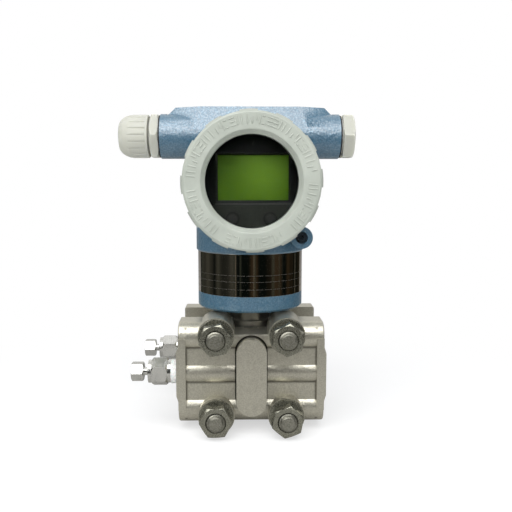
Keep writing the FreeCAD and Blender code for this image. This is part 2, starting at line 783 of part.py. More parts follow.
def housing_casting():
    """Neck, collar, barrel, the saddle with its two conduit bosses, and the screw lug."""
    body = new_body("housing_casting")
    barrel_rise = COVER_Z - FOOT_Z
    plate = PLATE_Z - FOOT_Z
    collar = COLLAR_Z - FOOT_Z
    band = d.neck_ring_radius - d.nameplate_thickness
    spin(body, outline(new_sketch(body), [
        (ZERO, ZERO), (d.neck_ring_radius - d.neck_ring_chamfer, ZERO),
        (d.neck_ring_radius, d.neck_ring_chamfer), (d.neck_ring_radius, plate), (band, plate),
        (band, collar), (d.collar_radius - d.collar_chamfer, collar),
        (d.collar_radius, collar + d.collar_chamfer), (d.collar_radius, barrel_rise),
        (ZERO, barrel_rise)]))
    barrel = new_sketch(body, "XZ_Plane")
    circle(barrel, ZERO, barrel_rise, d.barrel_radius)
    pad(body, barrel, d.barrel_half_length * 2.0, SideType="Symmetric")

    conduit = barrel_rise + d.conduit_rise
    top = barrel_rise + d.saddle_top_rise
    length = d.conduit_half_length - d.saddle_setback
    lean = math.radians(d.saddle_side_lean.value)
    side_y = d.conduit_boss_radius * math.cos(lean)
    side_z = conduit + d.conduit_boss_radius * math.sin(lean)
    crest = side_y - (top - side_z) * math.tan(lean)
    saddle = new_sketch(body, "YZ_Plane")
    outline(saddle, [(-side_y, conduit), (side_y, conduit), (side_y, side_z), (crest, top),
                     (-crest, top), (-side_y, side_z)])
    pad(body, saddle, length * 2.0, SideType="Symmetric")
    for side_x in (-1.0, 1.0):
        for front in (-1.0, 1.0):
            cuts = []
            for x in (d.facet_start - 4.0, length + 1.0):
                edge = crest - (x - d.facet_start) * d.facet_taper
                foot = edge + (top - side_z) * d.facet_lean
                brow = edge - d.facet_lean
                cut = new_sketch(body, "YZ_Plane", side_x * x)
                cuts.append(outline(cut, [
                    (front * foot, side_z), (front * brow, top + 1.0),
                    (front * (side_y + 4.0), top + 1.0), (front * (side_y + 4.0), side_z)]))
            loft(body, cuts)
    bosses = new_sketch(body, "YZ_Plane")
    circle(bosses, ZERO, conduit, d.conduit_boss_radius)
    pad(body, bosses, d.conduit_half_length * 2.0, SideType="Symmetric")
    corners = new_sketch(body, "XZ_Plane")
    for side in (-1.0, 1.0):
        outline(corners, [
            (side * (length + 1.0), top - d.saddle_end_chamfer - 1.0),
            (side * (length + 1.0), top + 1.0),
            (side * (length - d.saddle_end_chamfer - 1.0), top + 1.0)])
    pocket(body, corners, crest * 2.0 + 4.0, SideType="Symmetric")

    lug = new_sketch(body, "XZ_Plane", d.lug_back)
    circle(lug, d.lug_x, d.lug_rise, d.lug_radius)
    pad(body, lug, LUG_FRONT - d.lug_back)

    front = new_sketch(body, "XZ_Plane", d.bulkhead_front)
    circle(front, ZERO, barrel_rise, d.compartment_radius)
    pocket(body, front, d.barrel_half_length, Reversed=True)
    back = new_sketch(body, "XZ_Plane", -d.bulkhead_back)
    circle(back, ZERO, barrel_rise, d.compartment_radius)
    pocket(body, back, d.barrel_half_length)
    for side in (1.0, -1.0):
        seat = new_sketch(body, "XZ_Plane", side * (d.barrel_half_length - d.seal_seat_depth))
        circle(seat, ZERO, barrel_rise, d.seal_seat_radius)
        pocket(body, seat, d.seal_seat_depth + 1.0, Reversed=side > 0)

    neck = new_sketch(body, "XY_Plane", -1.0 + ZERO)
    circle(neck, ZERO, ZERO, d.neck_radius + d.running_gap)
    pocket(body, neck, d.neck_engagement + d.seat_gap + 1.0, Reversed=True)
    channel = new_sketch(body, "XY_Plane", ZERO)
    circle(channel, ZERO, ZERO, d.cable_channel_radius)
    pocket(body, channel, barrel_rise - d.compartment_radius + 6.0, Reversed=True)

    for side in (1.0, -1.0):
        entry = new_sketch(body, "YZ_Plane", side * (d.conduit_half_length - d.conduit_depth))
        circle(entry, ZERO, conduit, d.conduit_radius)
        pocket(body, entry, d.conduit_depth + 1.0, Reversed=side > 0)
    way = new_sketch(body, "YZ_Plane")
    circle(way, d.wire_way_offset, conduit, d.wire_way_radius)
    pocket(body, way, (d.conduit_half_length - d.conduit_depth) * 2.0 + 2.0, SideType="Symmetric")

    bore = new_sketch(body, "XZ_Plane", LUG_FRONT - d.lug_bore_depth)
    circle(bore, d.lug_x, d.lug_rise, d.lug_bore_radius)
    pocket(body, bore, d.lug_bore_depth + 1.0, Reversed=True)
    tap = new_sketch(body, "XZ_Plane", LUG_FRONT - d.lug_bore_depth - d.lug_screw_length)
    circle(tap, d.lug_x, d.lug_rise, d.lug_screw_radius)
    pocket(body, tap, d.lug_screw_length + 1.0, Reversed=True)
    grub = new_sketch(body, "XZ_Plane", ZERO)
    circle(grub, ZERO, d.neck_ring_height / 2.0, d.neck_screw_radius)
    pocket(body, grub, d.neck_ring_radius + 1.0)
    return place(body, z=FOOT_Z)


housing_casting()


def socket_screw(label, radius, start, end, across_flats, x, z, towards):
    """A headless screw with a hexagon socket."""
    body = new_body(label)
    spin(body, outline(new_sketch(body), [
        (ZERO, start), (radius * 0.7, start), (radius, start + radius * 0.3), (radius, end),
        (ZERO, end)]))
    socket = new_sketch(body, "XY_Plane", end - radius)
    hexagon(socket, across_flats)
    pocket(body, socket, radius + 1.0, Reversed=True)
    return place(body, x, ZERO, z, towards)


lug_seat = LUG_FRONT - d.lug_bore_depth
socket_screw("lug_screw", d.lug_screw_radius, lug_seat - d.lug_screw_length, lug_seat + 1.2,
             d.lug_socket_across_flats, d.lug_x, LUG_Z, "front")
socket_screw("neck_lock_screw", d.neck_screw_radius,
             d.neck_radius + d.running_gap + d.seat_gap, d.neck_ring_radius - 1.5,
             d.neck_screw_socket, ZERO, FOOT_Z + d.neck_ring_height / 2.0, "back")


def nameplate():
    """The sheet band round the neck, open behind."""
    body = new_body("nameplate_band")
    inner = d.neck_ring_radius - d.nameplate_thickness
    spin(body, outline(new_sketch(body), [
        (inner, ZERO), (d.neck_ring_radius, ZERO), (d.neck_ring_radius, d.nameplate_height),
        (inner, d.nameplate_height)]))
    gap = new_sketch(body, "XY_Plane", -1.0 + ZERO)
    rectangle(gap, -d.nameplate_slot / 2.0, ZERO, d.nameplate_slot / 2.0,
              d.neck_ring_radius + 1.0)
    pocket(body, gap, d.nameplate_height + 2.0, Reversed=True)
    return place(body, z=PLATE_Z)


nameplate()


# Covers

def cut_lands(body, rim_start, rim_end):
    """Cut the rim back between its wrench lands."""
    between = 360.0 / d.land_count.value - d.land_angle.value
    cutter = new_sketch(body, "XY_Plane", rim_start)
    inner = d.cover_radius - d.land_height
    outer = d.cover_radius + 1.0
    points = []
    for radius, signs in ((inner, (-1, 0, 1)), (outer, (1, 0, -1))):
        for sign in signs:
            angle = math.radians(d.land_phase.value + sign * between / 2.0)
            points.append((radius * math.sin(angle), radius * math.cos(angle)))
    outline(cutter, points)
    made = pocket(body, cutter, rim_end - rim_start, Reversed=True)
    repeat(body, made, d.land_count)


def front_cover():
    """The window cover: threaded skirt, lip round the glass, bevelled rim with lands."""
    body = new_body("front_cover")
    lip_back = COVER_FRONT - d.lip_depth - d.lip_thickness
    flat_outer = d.cover_radius - d.cover_rim_bevel
    spin(body, outline(new_sketch(body), [
        (d.skirt_inner_radius, SKIRT_END), (d.skirt_radius, SKIRT_END),
        (d.skirt_radius, COVER_RIM_BACK), (d.cover_radius - 0.4, COVER_RIM_BACK),
        (d.cover_radius, COVER_RIM_BACK + 0.4), (d.cover_radius, COVER_SIDE_END),
        (d.cover_radius - 0.4, COVER_FRONT - 1.5), (flat_outer + 0.8, COVER_FRONT - 0.5),
        (flat_outer, COVER_FRONT), (d.lip_outer_radius + 0.8, COVER_FRONT),
        (d.lip_outer_radius, COVER_FRONT - 0.3),
        (d.window_radius + 0.6, COVER_FRONT - d.lip_depth + 0.5),
        (d.window_radius, COVER_FRONT - d.lip_depth - 0.4), (d.window_radius, lip_back),
        (d.skirt_inner_radius, lip_back)]))
    cut_lands(body, COVER_RIM_BACK + 1.5, COVER_FRONT + 1.0)
    return place(body, z=COVER_Z, towards="front")


def rear_cover():
    """The blind cover over the terminal side."""
    body = new_body("rear_cover")
    top = BACK_COVER_FRONT
    side_end = top - 4.0
    flat_outer = d.cover_radius - d.cover_rim_bevel
    spin(body, outline(new_sketch(body), [
        (d.skirt_inner_radius, SKIRT_END), (d.skirt_radius, SKIRT_END),
        (d.skirt_radius, COVER_RIM_BACK), (d.cover_radius - 0.4, COVER_RIM_BACK),
        (d.cover_radius, COVER_RIM_BACK + 0.4), (d.cover_radius, side_end),
        (d.cover_radius - 0.8, top - 1.6), (flat_outer, top - 0.3),
        (flat_outer - 1.0, top), (d.lip_outer_radius, top), (d.lip_outer_radius - 1.0, top - 1.0),
        (ZERO, top - 1.0), (ZERO, top - d.back_cover_wall),
        (d.skirt_inner_radius, top - d.back_cover_wall)]))
    cut_lands(body, COVER_RIM_BACK + 1.5, top + 1.0)
    return place(body, z=COVER_Z, towards="back")


def cover_seal(label, towards):
    """The round-section ring at the root of a cover's skirt."""
    seal = doc.addObject("Part::Torus", label)
    middle = (d.barrel_half_length - d.seal_seat_depth + COVER_RIM_BACK) / 2.0
    bind(seal, "Radius1", (d.skirt_radius + d.seal_seat_radius) / 2.0)
    bind(seal, "Radius2", d.cover_seal_section)
    place(seal, ZERO, -middle if towards == "front" else middle, COVER_Z, towards)


front_cover()
rear_cover()
cover_seal("front_cover_seal", "front")
cover_seal("rear_cover_seal", "back")
LIP_BACK = COVER_FRONT - d.lip_depth - d.lip_thickness
GLASS_FRONT = LIP_BACK - d.glass_gasket_thickness
GLASS_BACK = GLASS_FRONT - d.glass_thickness
GLASS_RADIUS = d.skirt_inner_radius - d.glass_gap
ring("window_gasket", d.glass_gasket_inner_radius, GLASS_RADIUS, GLASS_FRONT, LIP_BACK,
     z=COVER_Z, towards="front")
turned("window_glass", [(ZERO, GLASS_BACK), (GLASS_RADIUS, GLASS_BACK),
                        (GLASS_RADIUS, GLASS_FRONT), (ZERO, GLASS_FRONT)],
       z=COVER_Z, towards="front")
ring("glass_ring", d.glass_gasket_inner_radius, d.skirt_inner_radius,
     GLASS_BACK - d.glass_ring_thickness, GLASS_BACK, z=COVER_Z, towards="front")


# Display and electronics

DISPLAY_BOARD = BEZEL_BACK - d.board_thickness
PANEL_BACK = BEZEL_BACK
PANEL_FACE = PANEL_BACK + d.panel_thickness
MAIN_BOARD = d.main_board_depth


def display_bezel():
    """The black moulding before the display, with a bevelled window and two button holes."""
    body = new_body("display_bezel")
    inner = d.bezel_radius - d.bezel_skirt_wall
    spin(body, outline(new_sketch(body), [
        (ZERO, BEZEL_FACE - d.bezel_wall), (inner, BEZEL_FACE - d.bezel_wall),
        (inner, BEZEL_BACK), (d.bezel_radius, BEZEL_BACK),
        (d.bezel_radius, BEZEL_FACE - 0.5), (d.bezel_radius - 0.5, BEZEL_FACE),
        (ZERO, BEZEL_FACE)]))
    half_width, half_height = d.window_width / 2.0, d.window_height / 2.0
    window = new_sketch(body, "XY_Plane", BEZEL_FACE - d.bezel_wall - 1.0)
    rectangle(window, d.window_x - half_width, d.window_rise - half_height,
              d.window_x + half_width, d.window_rise + half_height)
    pocket(body, window, d.bezel_wall + 2.0, Reversed=True)
    rims = []
    for level, grow in ((BEZEL_FACE - d.window_bevel, ZERO), (BEZEL_FACE, d.window_bevel)):
        rim = new_sketch(body, "XY_Plane", level)
        rims.append(rectangle(
            rim, d.window_x - half_width - grow, d.window_rise - half_height - grow,
            d.window_x + half_width + grow, d.window_rise + half_height + grow))
    loft(body, rims)
    keys = new_sketch(body, "XY_Plane", BEZEL_FACE - d.bezel_wall - 1.0)
    for side in (-1.0, 1.0):
        circle(keys, side * d.button_x, -d.button_drop, d.button_radius + d.running_gap)
    pocket(body, keys, d.bezel_wall + 2.0, Reversed=True)
    return place(body, z=COVER_Z, towards="front")


def box(label, x0, y0, z0, width, depth, height):
    """A plain block."""
    made = doc.addObject("Part::Box", label)
    made.Label = label
    for name, size in (("Length", width), ("Width", depth), ("Height", height)):
        bind(made, name, size)
    return place(made, x0, y0, z0)


def round_board(label, radius, start):
    """A round circuit board with a flat cut on each side."""
    body = new_body(label)
    disc = new_sketch(body, "XY_Plane", start)
    circle(disc, ZERO, ZERO, radius)
    pad(body, disc, d.board_thickness)
    return body


def posts(label, start, end):
    """Three spacer posts on the post circle."""
    body = new_body(label)
    for step in range(3):
        angle = math.radians(90 + 120 * step)
        foot = new_sketch(body, "XY_Plane", start)
        circle(foot, d.post_circle * math.cos(angle), d.post_circle * math.sin(angle),
               d.post_radius)
        pad(body, foot, end - start)
    return place(body, z=COVER_Z, towards="front")


display_bezel()
place(round_board("display_board", d.display_board_radius, DISPLAY_BOARD), z=COVER_Z,
      towards="front")
box("lcd_panel", d.window_x - d.window_width / 2.0 - d.panel_margin, -PANEL_FACE,
    COVER_Z + d.window_rise - d.window_height / 2.0 - d.panel_margin,
    d.window_width + d.panel_margin * 2.0, d.panel_thickness,
    d.window_height + d.panel_margin * 2.0)
main_board = round_board("main_board", d.main_board_radius, MAIN_BOARD)
for x, y in ((-0.6, 0.4), (0.7, 0.5), (0.0, -0.9)):
    chip = new_sketch(main_board, "XY_Plane", MAIN_BOARD + d.board_thickness)
    left, low = d.chip_size * (x - 0.5), d.chip_size * (y - 0.5)
    rectangle(chip, left, low, left + d.chip_size, low + d.chip_size)
    pad(main_board, chip, d.chip_height)
place(main_board, z=COVER_Z, towards="front")
posts("board_posts", d.bulkhead_front, MAIN_BOARD)
posts("display_posts", MAIN_BOARD + d.board_thickness, DISPLAY_BOARD)

for name, side in (("left_button", -1.0), ("right_button", 1.0)):
    root = DISPLAY_BOARD + d.board_thickness + d.button_travel + d.seat_gap
    flange = BEZEL_FACE - d.bezel_wall - d.seat_gap
    wide = d.button_radius + 0.8
    turned(name, [
        (ZERO, root), (wide, root), (wide, flange), (d.button_radius, flange),
        (d.button_radius, BEZEL_FACE + d.button_proud - 0.3),
        (d.button_radius - 0.3, BEZEL_FACE + d.button_proud),
        (ZERO, BEZEL_FACE + d.button_proud)],
        side * d.button_x, ZERO, COVER_Z - d.button_drop, "front")


def terminal_block():
    """The moulded block in the rear compartment, stepped for the wires."""
    body = new_body("terminal_block")
    base = new_sketch(body, "XY_Plane", d.bulkhead_back)
    half = d.block_width / 2.0
    rectangle(base, -half, -d.block_height / 2.0, half, d.block_height / 2.0)
    pad(body, base, d.block_depth)
    step = new_sketch(body, "XY_Plane", d.bulkhead_back + d.block_depth / 2.0)
    rectangle(step, -half - 1.0, -d.block_height / 2.0 - 1.0, half + 1.0,
              -d.block_height / 5.0)
    pocket(body, step, d.block_depth, Reversed=True)
    for side in (-1.5, -0.5, 0.5, 1.5):
        barrier = new_sketch(body, "XY_Plane", d.bulkhead_back)
        middle = side * d.terminal_pitch
        rectangle(barrier, middle - 0.8, -d.block_height / 2.0, middle + 0.8,
                  d.block_height / 2.0)
        pad(body, barrier, d.block_depth + d.terminal_screw_height)
    return place(body, z=COVER_Z, towards="back")


def slotted_screw(label, x, z, start):
    """A round screw head with one slot, facing back."""
    body = new_body(label)
    end = start + d.terminal_screw_height
    radius = d.terminal_screw_radius
    spin(body, outline(new_sketch(body), [
        (ZERO, start), (radius, start), (radius, end - 0.6), (radius - 0.6, end), (ZERO, end)]))
    slot = new_sketch(body, "XY_Plane", end - 1.0)
    rectangle(slot, -radius - 1.0, -d.terminal_slot_width / 2.0, radius + 1.0,
              d.terminal_slot_width / 2.0)
    pocket(body, slot, 2.0, Reversed=True)
    return place(body, x, ZERO, z, "back")


terminal_block()
block_top = d.bulkhead_back + d.block_depth
terminals = [slotted_screw("terminal_%d" % (number + 2), number * d.terminal_pitch,
                           COVER_Z - d.block_height * 0.15, block_top)
             for number in (-1, 0, 1)]
group("terminal_screws", terminals)
slotted_screw("ground_screw", ZERO, COVER_Z - d.ground_screw_drop, d.bulkhead_back)


# Cable gland on the left, blanking plug on the right

GLAND_HEX_END = SEAL_X + d.gland_hex_length
GLAND_NECK_END = GLAND_HEX_END + d.gland_neck_length
GLAND_SEAL_START = GLAND_CAP_END - d.gland_cap_lip - d.gland_seal_length


def gland_body():
    """The threaded sleeve of the gland with its hexagon."""
    body = new_body("gland_body")
    start = d.conduit_half_length - d.gland_thread_length
    hex_prism(body, d.gland_across_flats, SEAL_X, GLAND_HEX_END, angle=30.0)
    spin(body, outline(new_sketch(body), [
        (ZERO, start), (d.gland_thread_radius, start), (d.gland_thread_radius, SEAL_X),
        (d.gland_neck_radius, SEAL_X), (d.gland_neck_radius, GLAND_NECK_END),
        (ZERO, GLAND_NECK_END)]))
    bore = new_sketch(body, "XY_Plane", start - 1.0)
    circle(bore, ZERO, ZERO, d.gland_bore_radius)
    pocket(body, bore, GLAND_NECK_END - start + 2.0, Reversed=True)
    return place(body, z=CONDUIT_Z, towards="left")


def gland_cap():
    """The domed cap nut with its flutes."""
    body = new_body("gland_cap")
    start, end, wide = GLAND_CAP_START, GLAND_CAP_END, d.gland_cap_radius
    inner = d.gland_neck_radius + d.running_gap
    last = d.gland_cap_end_radius
    drop = wide - last
    dome = d.gland_dome_length
    spin(body, outline(new_sketch(body), [
        (inner, start), (wide - 0.4, start), (wide, start + 0.4), (wide, end - dome),
        (wide - drop * 0.1, end - dome * 0.7), (wide - drop * 0.34, end - dome * 0.4),
        (wide - drop * 0.7, end - dome * 0.15), (last, end - 0.3), (last - 0.6, end),
        (d.gland_cap_mouth, end), (d.gland_cap_mouth, end - d.gland_cap_lip + 0.6),
        (d.gland_bore_radius, end - d.gland_cap_lip), (inner, GLAND_NECK_END + 0.6)]))
    flute = new_sketch(body, "XY_Plane", start + d.gland_flute_setback)
    circle(flute, wide + d.gland_flute_radius - d.gland_flute_depth, ZERO,
           d.gland_flute_radius)
    made = pocket(body, flute, d.gland_cap_length - dome * 0.75, Reversed=True)
    repeat(body, made, d.gland_flute_count)
    return place(body, z=CONDUIT_Z, towards="left")


def blanking_plug():
    """The hexagon plug in the other conduit entry."""
    body = new_body("conduit_plug")
    start = d.conduit_half_length - d.gland_thread_length
    collar = SEAL_X + d.plug_collar_length
    spin(body, outline(new_sketch(body), [
        (ZERO, start), (d.gland_thread_radius, start), (d.gland_thread_radius, SEAL_X),
        (d.plug_collar_radius, SEAL_X), (d.plug_collar_radius, collar),
        (ZERO, collar)]))
    hex_prism(body, d.gland_across_flats, collar, collar + d.plug_hex_length,
              chamfer_start=False, angle=30.0)
    return place(body, z=CONDUIT_Z, towards="right")


gland_body()
gland_cap()
blanking_plug()
ring("gland_seal", d.gland_seal_inner_radius, d.gland_bore_radius - d.running_gap,
     GLAND_SEAL_START, GLAND_CAP_END - d.gland_cap_lip, z=CONDUIT_Z, towards="left")
for label, towards in (("gland_washer", "left"), ("plug_washer", "right")):
    ring(label, d.gland_thread_radius, d.conduit_seal_radius, d.conduit_half_length, SEAL_X,
         z=CONDUIT_Z, towards=towards)


# Checks and export

NODES = [
    "front_flange", "rear_flange", "flange_bolts", "flange_nuts", "flange_washers",
    "sensor_module", "front_gasket", "rear_gasket", "front_diaphragm", "rear_diaphragm",
    "front_vent_body", "rear_vent_body", "front_vent_stem", "rear_vent_stem",
    "front_vent_ball", "rear_vent_ball", "thread_tapes",
    "housing_casting", "lug_screw", "neck_lock_screw", "nameplate_band",
    "front_cover", "rear_cover", "front_cover_seal", "rear_cover_seal",
    "window_gasket", "window_glass", "glass_ring",
    "display_bezel", "display_board", "lcd_panel", "main_board", "board_posts",
    "display_posts", "left_button", "right_button",
    "terminal_block", "terminal_screws", "ground_screw",
    "gland_body", "gland_cap", "gland_seal", "gland_washer", "conduit_plug", "plug_washer",
]


def export_all():
    """Check every object, then write each sub-part to its file."""
    doc.recompute()
    failed = [item.Label for item in doc.Objects
              if "Invalid" in item.State or "Error" in item.State]
    if failed:
        raise RuntimeError("failed objects: %s" % ", ".join(failed))
    os.makedirs("parts", exist_ok=True)
    for label in NODES:
        shape = doc.getObjectsByLabel(label)[0].Shape
        if shape.isNull() or not shape.isValid() or not shape.Solids:
            raise RuntimeError("bad shape: " + label)
        shape.exportStep(os.path.join("parts", label + ".step"))
        box_now = shape.BoundBox
        print("%-18s solids %d volume %9.1f  x %6.1f %6.1f  y %6.1f %6.1f  z %6.1f %6.1f" % (
            label, len(shape.Solids), shape.Volume, box_now.XMin, box_now.XMax,
            box_now.YMin, box_now.YMax, box_now.ZMin, box_now.ZMax))


export_all()
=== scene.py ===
"""The looks of a differential pressure transmitter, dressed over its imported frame.

Every length in this file is in millimetres unless its name ends in _m.
"""
from __future__ import annotations

import logging
import math
from dataclasses import dataclass, field
from enum import Enum
from typing import Any, Sequence

import bmesh
import bpy
from mathutils import Matrix, Vector


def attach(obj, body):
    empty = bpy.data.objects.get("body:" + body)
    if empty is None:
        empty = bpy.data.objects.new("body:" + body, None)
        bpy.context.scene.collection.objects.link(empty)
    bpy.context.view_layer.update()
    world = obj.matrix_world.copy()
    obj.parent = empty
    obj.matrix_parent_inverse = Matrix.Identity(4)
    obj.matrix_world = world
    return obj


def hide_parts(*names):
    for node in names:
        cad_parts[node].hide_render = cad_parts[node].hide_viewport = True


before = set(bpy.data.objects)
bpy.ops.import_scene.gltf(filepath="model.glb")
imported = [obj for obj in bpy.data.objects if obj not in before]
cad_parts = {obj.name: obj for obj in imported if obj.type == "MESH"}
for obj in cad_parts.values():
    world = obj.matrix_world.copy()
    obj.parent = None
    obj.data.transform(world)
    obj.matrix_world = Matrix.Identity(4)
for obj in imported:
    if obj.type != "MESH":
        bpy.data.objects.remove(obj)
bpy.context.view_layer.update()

MM = 0.001
FLANGE_Z = 33.1
PORT_Y = 27.0
COVER_Z = 140.9
WELD_DISTANCE = 0.002
FLAT_ANGLE = 0.4

Colour = tuple[float, float, float]
Point = tuple[float, float, float]

log = logging.getLogger("transmitter")


class Axis(Enum):
    """The axis that a metal's tool lines run across."""

    X = 0
    Y = 1
    Z = 2

    def stretch(self, fine: float) -> Point:
        """Return a pattern's fineness along the three axes.

        Args:
            fine: how fine the pattern is along the two other axes.

        Returns:
            The fineness, which is 1 along this axis.
        """
        return tuple(1.0 if place == self.value else fine for place in range(3))


class Value:
    """One output of a shader graph, with arithmetic."""

    def __init__(self, graph: "Graph", socket: bpy.types.NodeSocket) -> None:
        """Wrap a socket of a graph."""
        self.graph = graph
        self.socket = socket

    def _join(self, operation: str, first: Any, second: Any) -> "Value":
        """Join two values with a Math node."""
        return self.graph.node("ShaderNodeMath", {0: first, 1: second}, operation=operation)

    def __add__(self, other: Any) -> "Value":
        """Return self + other."""
        return self._join("ADD", self, other)

    __radd__ = __add__

    def __sub__(self, other: Any) -> "Value":
        """Return self - other."""
        return self._join("SUBTRACT", self, other)

    def __rsub__(self, other: Any) -> "Value":
        """Return other - self."""
        return self._join("SUBTRACT", other, self)

    def __mul__(self, other: Any) -> "Value":
        """Return self * other."""
        return self._join("MULTIPLY", self, other)

    __rmul__ = __mul__

    def __pow__(self, other: Any) -> "Value":
        """Return self to the power of other."""
        return self._join("POWER", self, other)

    def step(self, low: float, high: float) -> "Value":
        """Rise smoothly from 0 at low to 1 at high.

        Args:
            low: the value that gives 0.
            high: the value that gives 1.

        Returns:
            The smooth step.
        """
        return self.graph.node("ShaderNodeMapRange", {0: self, 1: low, 2: high},
                               interpolation_type="SMOOTHSTEP")


class Graph:
    """The node tree of one material, or of the world."""

    def __init__(self, name: str, sky: bool = False) -> None:
        """Start an empty material or world.

        Args:
            name: its name.
            sky: whether it is a world.
        """
        self.owner = (bpy.data.worlds if sky else bpy.data.materials).new(name)
        self.owner.use_nodes = True
        self.tree = self.owner.node_tree
        self.tree.nodes.clear()

    def node(self, kind: str, inputs: dict[Any, Any] | None = None, output: Any = 0,
             **settings: Any) -> Value:
        """Make one node.

        Args:
            kind: the node's type.
            inputs: numbers, colours or graph values by input name or place.
            output: name or place of the output that is wanted.
            settings: the node's own properties, set first.

        Returns:
            The output.
        """
        made = self.tree.nodes.new(kind)
        for name, value in settings.items():
            setattr(made, name, value)
        for key, value in (inputs or {}).items():
            socket = made.inputs[key]
            if isinstance(value, Value):
                self.tree.links.new(value.socket, socket)
            elif socket.type == "RGBA" and len(value) == 3:
                socket.default_value = (*value, 1.0)
            else:
                socket.default_value = value
        return Value(self, made.outputs[output])

    def size_of(self, value: Value) -> Value:
        """Return a value without its sign."""
        return self.node("ShaderNodeMath", {0: value}, operation="ABSOLUTE")

    def larger(self, first: Any, second: Any) -> Value:
        """Return the larger of two values."""
        return self.node("ShaderNodeMath", {0: first, 1: second}, operation="MAXIMUM")

    def parts(self, at: Value) -> list[Value]:
        """Split coordinates into their three parts."""
        return [self.node("ShaderNodeSeparateXYZ", {0: at}, output=axis) for axis in range(3)]

    def place(self, stretch: Point = (1.0, 1.0, 1.0)) -> Value:
        """Return the object's own coordinates in millimetres.

        Args:
            stretch: how many times finer a pattern is along each axis.

        Returns:
            The coordinates.
        """
        spot = self.node("ShaderNodeTexCoord", output="Object")
        return self.node("ShaderNodeMapping", {"Vector": spot,
                                               "Scale": tuple(s / MM for s in stretch)})

    def noise(self, at: Value, grain: float, detail: float = 2.0, rough: float = 0.5) -> Value:
        """Return a noise whose lumps are about this wide.

        Args:
            at: coordinates in millimetres.
            grain: width of a lump.
            detail: number of finer layers.
            rough: strength of the finer layers.

        Returns:
            The noise from 0 to 1.
        """
        return self.node("ShaderNodeTexNoise",
                         {"Vector": at, "Scale": 1.0 / grain, "Detail": detail,
                          "Roughness": rough})

    def cells(self, at: Value, grain: float, feature: str = "F1") -> Value:
        """Return the distance pattern of cells that are about this wide."""
        return self.node("ShaderNodeTexVoronoi", {"Vector": at, "Scale": 1.0 / grain},
                         feature=feature)

    def mix(self, mask: Any, low: Any, high: Any) -> Value:
        """Mix two colours by a mask.

        Args:
            mask: 0 gives low and 1 gives high.
            low: the first colour.
            high: the second colour.

        Returns:
            The mixed colour.
        """
        return self.node("ShaderNodeMix", {0: mask, 6: low, 7: high}, output=2, data_type="RGBA")

    def bump(self, height: Value, depth: float, under: Value | None = None) -> Value:
        """Return a normal with a relief.

        Args:
            height: the relief from 0 to 1.
            depth: the relief's depth in millimetres.
            under: a normal that this relief is laid over.

        Returns:
            The normal.
        """
        inputs: dict[Any, Any] = {"Height": height, "Distance": depth * MM, "Strength": 1.0}
        if under is not None:
            inputs["Normal"] = under
        return self.node("ShaderNodeBump", inputs)

    def finish(self, base: Any, roughness: Any, normal: Value | None = None,
               **fixed: Any) -> bpy.types.Material:
        """End the material with its surface.

        Args:
            base: the base colour.
            roughness: the roughness.
            normal: the normal, if the surface has a relief.
            fixed: other inputs, with underscores for spaces.

        Returns:
            The material.
        """
        inputs: dict[Any, Any] = {"Base Color": base, "Roughness": roughness}
        if normal is not None:
            inputs["Normal"] = normal
        inputs.update({name.replace("_", " "): value for name, value in fixed.items()})
        return self.close(self.node("ShaderNodeBsdfPrincipled", inputs))

    def close(self, shader: Value) -> bpy.types.Material | bpy.types.World:
        """Send a shader to the output.

        Args:
            shader: the shader.

        Returns:
            The material or world that the graph belongs to.
        """
        sky = isinstance(self.owner, bpy.types.World)
        end = self.tree.nodes.new("ShaderNodeOutputWorld" if sky else "ShaderNodeOutputMaterial")
        self.tree.links.new(shader.socket, end.inputs["Surface"])
        return self.owner


@dataclass(frozen=True)
class HammerPaint:
    """Stove enamel with an orange-peel relief and light metallic flecks."""

    name: str
    slot: str
    dark: Colour
    light: Colour
    fleck: Colour
    grain: float = 0.95
    depth: float = 0.30
    gloss: float = 0.24

    def material(self) -> bpy.types.Material:
        """Build the material.

        Returns:
            The material.
        """
        g = Graph(self.name)
        at = g.place()
        grain = g.noise(at, self.grain, 2.0, 0.6)
        pits = g.cells(at, self.grain * 1.7)
        broad = g.noise(at, 22.0, 2.0)
        flecks = grain.step(0.54, 0.66)
        base = g.mix(broad * 0.4 + grain.step(0.30, 0.70) * 0.6, self.dark, self.light)
        base = g.mix(flecks * 0.18, base, self.fleck)
        glint = g.noise(at, self.grain * 0.8, 2.0, 0.7).step(0.46, 0.62)
        normal = g.bump(g.noise(at, 3.0, 1.0), 0.05)
        normal = g.bump(grain * 0.8 + pits * 0.6, self.depth, normal)
        return g.finish(base, grain * 0.16 + self.gloss, normal, Metallic=flecks * 0.5,
                        IOR=1.65, Specular_IOR_Level=0.8, Coat_Weight=glint * 0.7 + 0.1,
                        Coat_IOR=1.95, Coat_Roughness=0.3)


@dataclass(frozen=True)
class CoverPaint:
    """Smooth semi-gloss enamel over a casting."""

    name: str
    slot: str
    dark: Colour
    light: Colour
    gloss: float = 0.3

    def material(self) -> bpy.types.Material:
        """Build the material.

        Returns:
            The material.
        """
        g = Graph(self.name)
        at = g.place()
        broad = g.noise(at, 16.0, 3.0)
        peel = g.noise(at, 1.1, 2.0)
        specks = g.noise(at, 0.5, 1.0).step(0.68, 0.78)
        scuffs = g.noise(g.place((1.0, 1.0, 6.0)), 2.6, 3.0).step(0.66, 0.80)
        base = g.mix(broad.step(0.3, 0.7), self.dark, self.light)
        base = g.mix(specks * 0.25, base, (0.30, 0.33, 0.32))
        normal = g.bump(peel, 0.02)
        rough = peel * 0.12 + scuffs * 0.12 + self.gloss
        return g.finish(base, rough, normal, Coat_Weight=0.3, Coat_Roughness=0.12)


